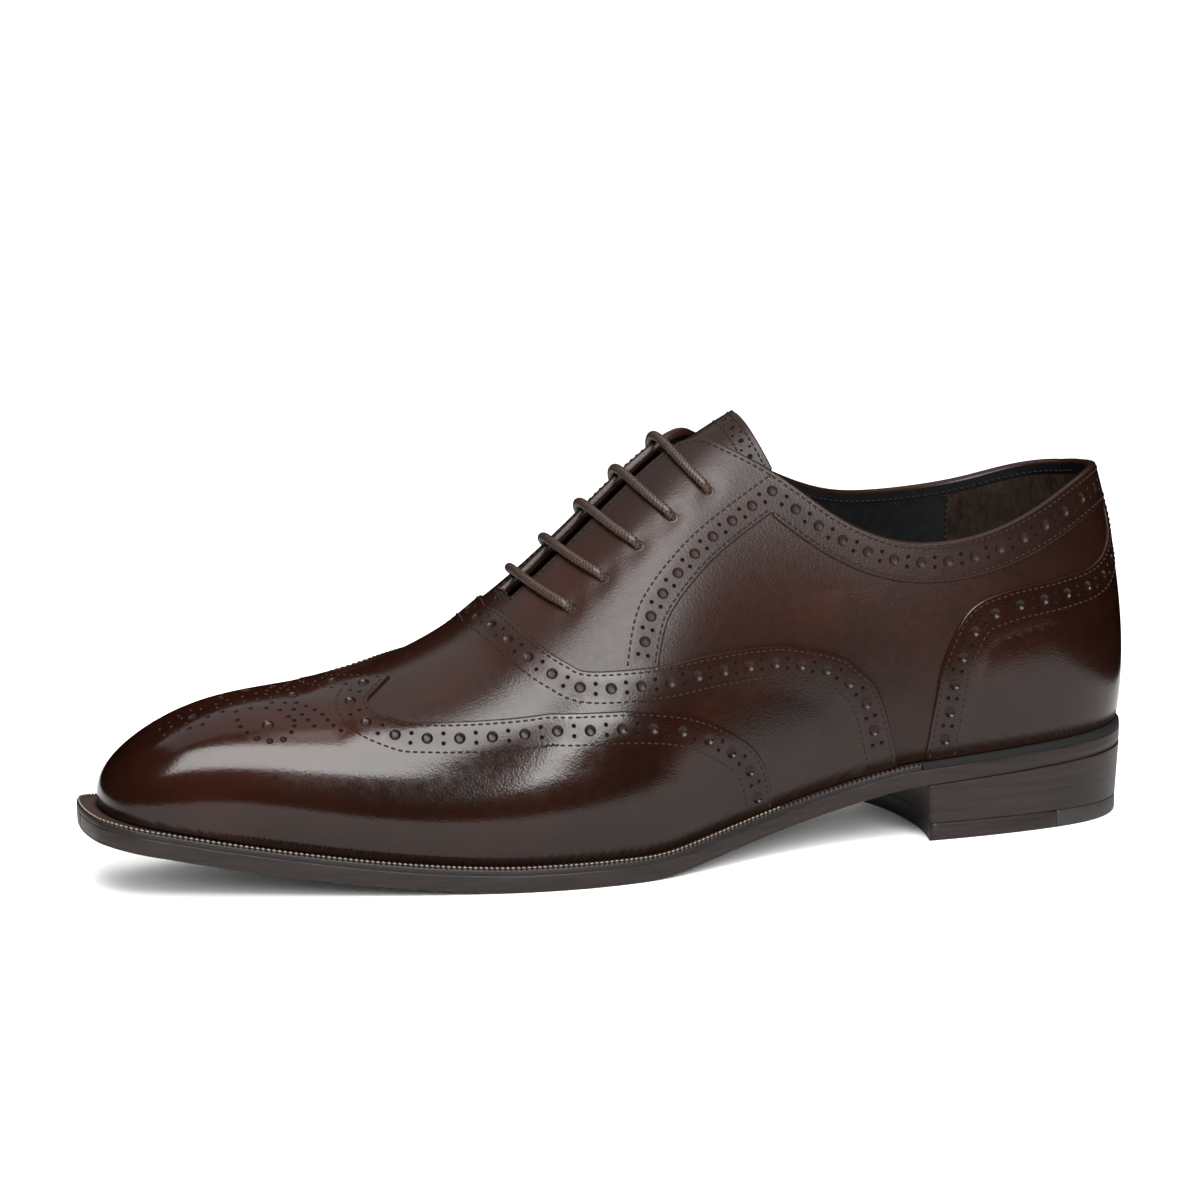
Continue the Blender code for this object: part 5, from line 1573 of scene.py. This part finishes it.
def lift_outline(draw):
    """The leather lift from above, from the breast back to the rubber."""
    breast = HEEL_BREAST - LIFT_RAKE
    return heel_outline(LIFT_OUT - draw, breast, BREAST_CURVE, TIP_FRONT + PIECE_GAP, TIP_BOW)


def tip_outline(draw):
    """The rubber tip from above, from its bowed front round the back."""
    return heel_outline(LIFT_OUT - draw, TIP_FRONT, TIP_BOW)


points, faces = lift_body(lift_outline)
mesh_piece("top_lift", points, faces, STACK_LEATHER, ("top_lift",))
points, faces = lift_body(tip_outline)
mesh_piece("rubber_tip", points, faces, rubber(), ("rubber_tip",))

# Floor, light and camera
# A white paper floor, even light all round, soft boxes over the camera that the polished leather
# mirrors, a grey card that only the polish sees, and a long lens at the photograph's angle.
FLOOR_HALF, FLOOR_DOWN = 30.0, 0.00003
CARD_LOW, CARD_HIGH = (-0.45, -0.23), (0.30, 0.30)


def stage_sheet(name, low, high, level, look):
    """A flat rectangle of the stage between two corners."""
    mesh = bpy.data.meshes.new(name)
    corners = [(*low, level), (high[0], low[1], level), (*high, level), (low[0], high[1], level)]
    mesh.from_pydata(corners, [], [(0, 1, 2, 3)])
    mesh.materials.append(look)
    sheet = bpy.data.objects.new(name, mesh)
    bpy.context.scene.collection.objects.link(sheet)
    sheet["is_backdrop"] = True
    return sheet


def matt_paper(name, code):
    """Matt paper, dull enough to mirror nothing, in one colour as bought."""
    return finish_named(name, Roughness=0.95, Specular_IOR_Level=0.1, Base_Color=linear(code))[0]


WHITE_PAPER = matt_paper("white studio paper", "fbfbfa")
GREY_CARD = matt_paper("grey studio card", "c4c3c2")
floor = stage_sheet("floor", (-FLOOR_HALF, -FLOOR_HALF), (FLOOR_HALF, FLOOR_HALF), -FLOOR_DOWN, WHITE_PAPER)
floor.visible_glossy = False
card = stage_sheet("card", CARD_LOW, CARD_HIGH, 0.0, GREY_CARD)
card.visible_camera = card.visible_diffuse = card.visible_shadow = False

world = bpy.data.worlds.new("studio")
world.use_nodes = True
fill(world.node_tree, world.node_tree.nodes["Background"], Color=(1.0, 1.0, 1.0, 1.0), Strength=1.1)
bpy.context.scene.world = world
world.cycles_visibility.glossy = False


BOX_AIM = np.array([0.0, 0.0, 0.05])


def looking_from(azimuth, rise, roll, target, far):
    """Matrix of a lamp or camera that faces a target from an angle round from the front and a rise."""
    azimuth, rise, roll = np.radians((azimuth, rise, roll))
    back = np.array([np.sin(azimuth) * np.cos(rise), -np.cos(azimuth) * np.cos(rise), np.sin(rise)])
    right = unit(np.cross((0.0, 0.0, 1.0), back))
    up = np.cross(back, right)
    turn = np.eye(4)
    turn[:3, 0] = right * np.cos(roll) + up * np.sin(roll)
    turn[:3, 1] = up * np.cos(roll) - right * np.sin(roll)
    turn[:3, 2] = back
    turn[:3, 3] = target + back * far
    return Matrix(turn.tolist())


def soft_box(name, azimuth, rise, far, size, bright):
    """A rectangular soft light that faces the shoe, its power from its brightness and its area."""
    light = bpy.data.lights.new(name, "AREA")
    light.shape = "RECTANGLE"
    light.size, light.size_y = size
    light.energy = bright * np.pi * size[0] * size[1]
    lamp = bpy.data.objects.new(name, light)
    lamp.visible_camera = False
    lamp.matrix_world = looking_from(azimuth, rise, 0.0, BOX_AIM, far)
    bpy.context.scene.collection.objects.link(lamp)


soft_box("main_box", -21.0, 48.0, 1.2, (0.80, 0.57), 11.2)
soft_box("fill_box", 15.0, 66.0, 1.3, (0.5, 0.5), 3.5)
soft_box("low_box", 3.0, 26.0, 1.1, (0.43, 0.5), 13.5)
soft_box("top_box", 175.0, 72.0, 1.4, (1.7, 1.5), 0.9)

CAMERA_AZIMUTH, CAMERA_RISE, CAMERA_ROLL = -19.806, 11.373, -0.445
CAMERA_FAR, FOCAL_PIXELS, PICTURE = 0.909, 3207.7, 1200.0
AXIS_PIXEL = (637.86, 702.0)
SENSOR = 36.0
PIVOT_BACK, PIVOT_HIGH = 147.0, 0.040
PIVOT = np.array([(PLACE[0] - PIVOT_BACK) / 1000, PLACE[1] / 1000, PIVOT_HIGH])
lens = bpy.data.cameras.new("camera")
lens.sensor_width = SENSOR
lens.lens = FOCAL_PIXELS / PICTURE * SENSOR
lens.shift_x = (PICTURE / 2 - AXIS_PIXEL[0]) / PICTURE
lens.shift_y = (AXIS_PIXEL[1] - PICTURE / 2) / PICTURE
camera = bpy.data.objects.new("camera", lens)
camera.matrix_world = looking_from(CAMERA_AZIMUTH, CAMERA_RISE, CAMERA_ROLL, PIVOT, CAMERA_FAR)
bpy.context.scene.collection.objects.link(camera)
bpy.context.scene.camera = camera
bpy.context.scene.view_settings.view_transform = "Standard"

low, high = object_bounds()
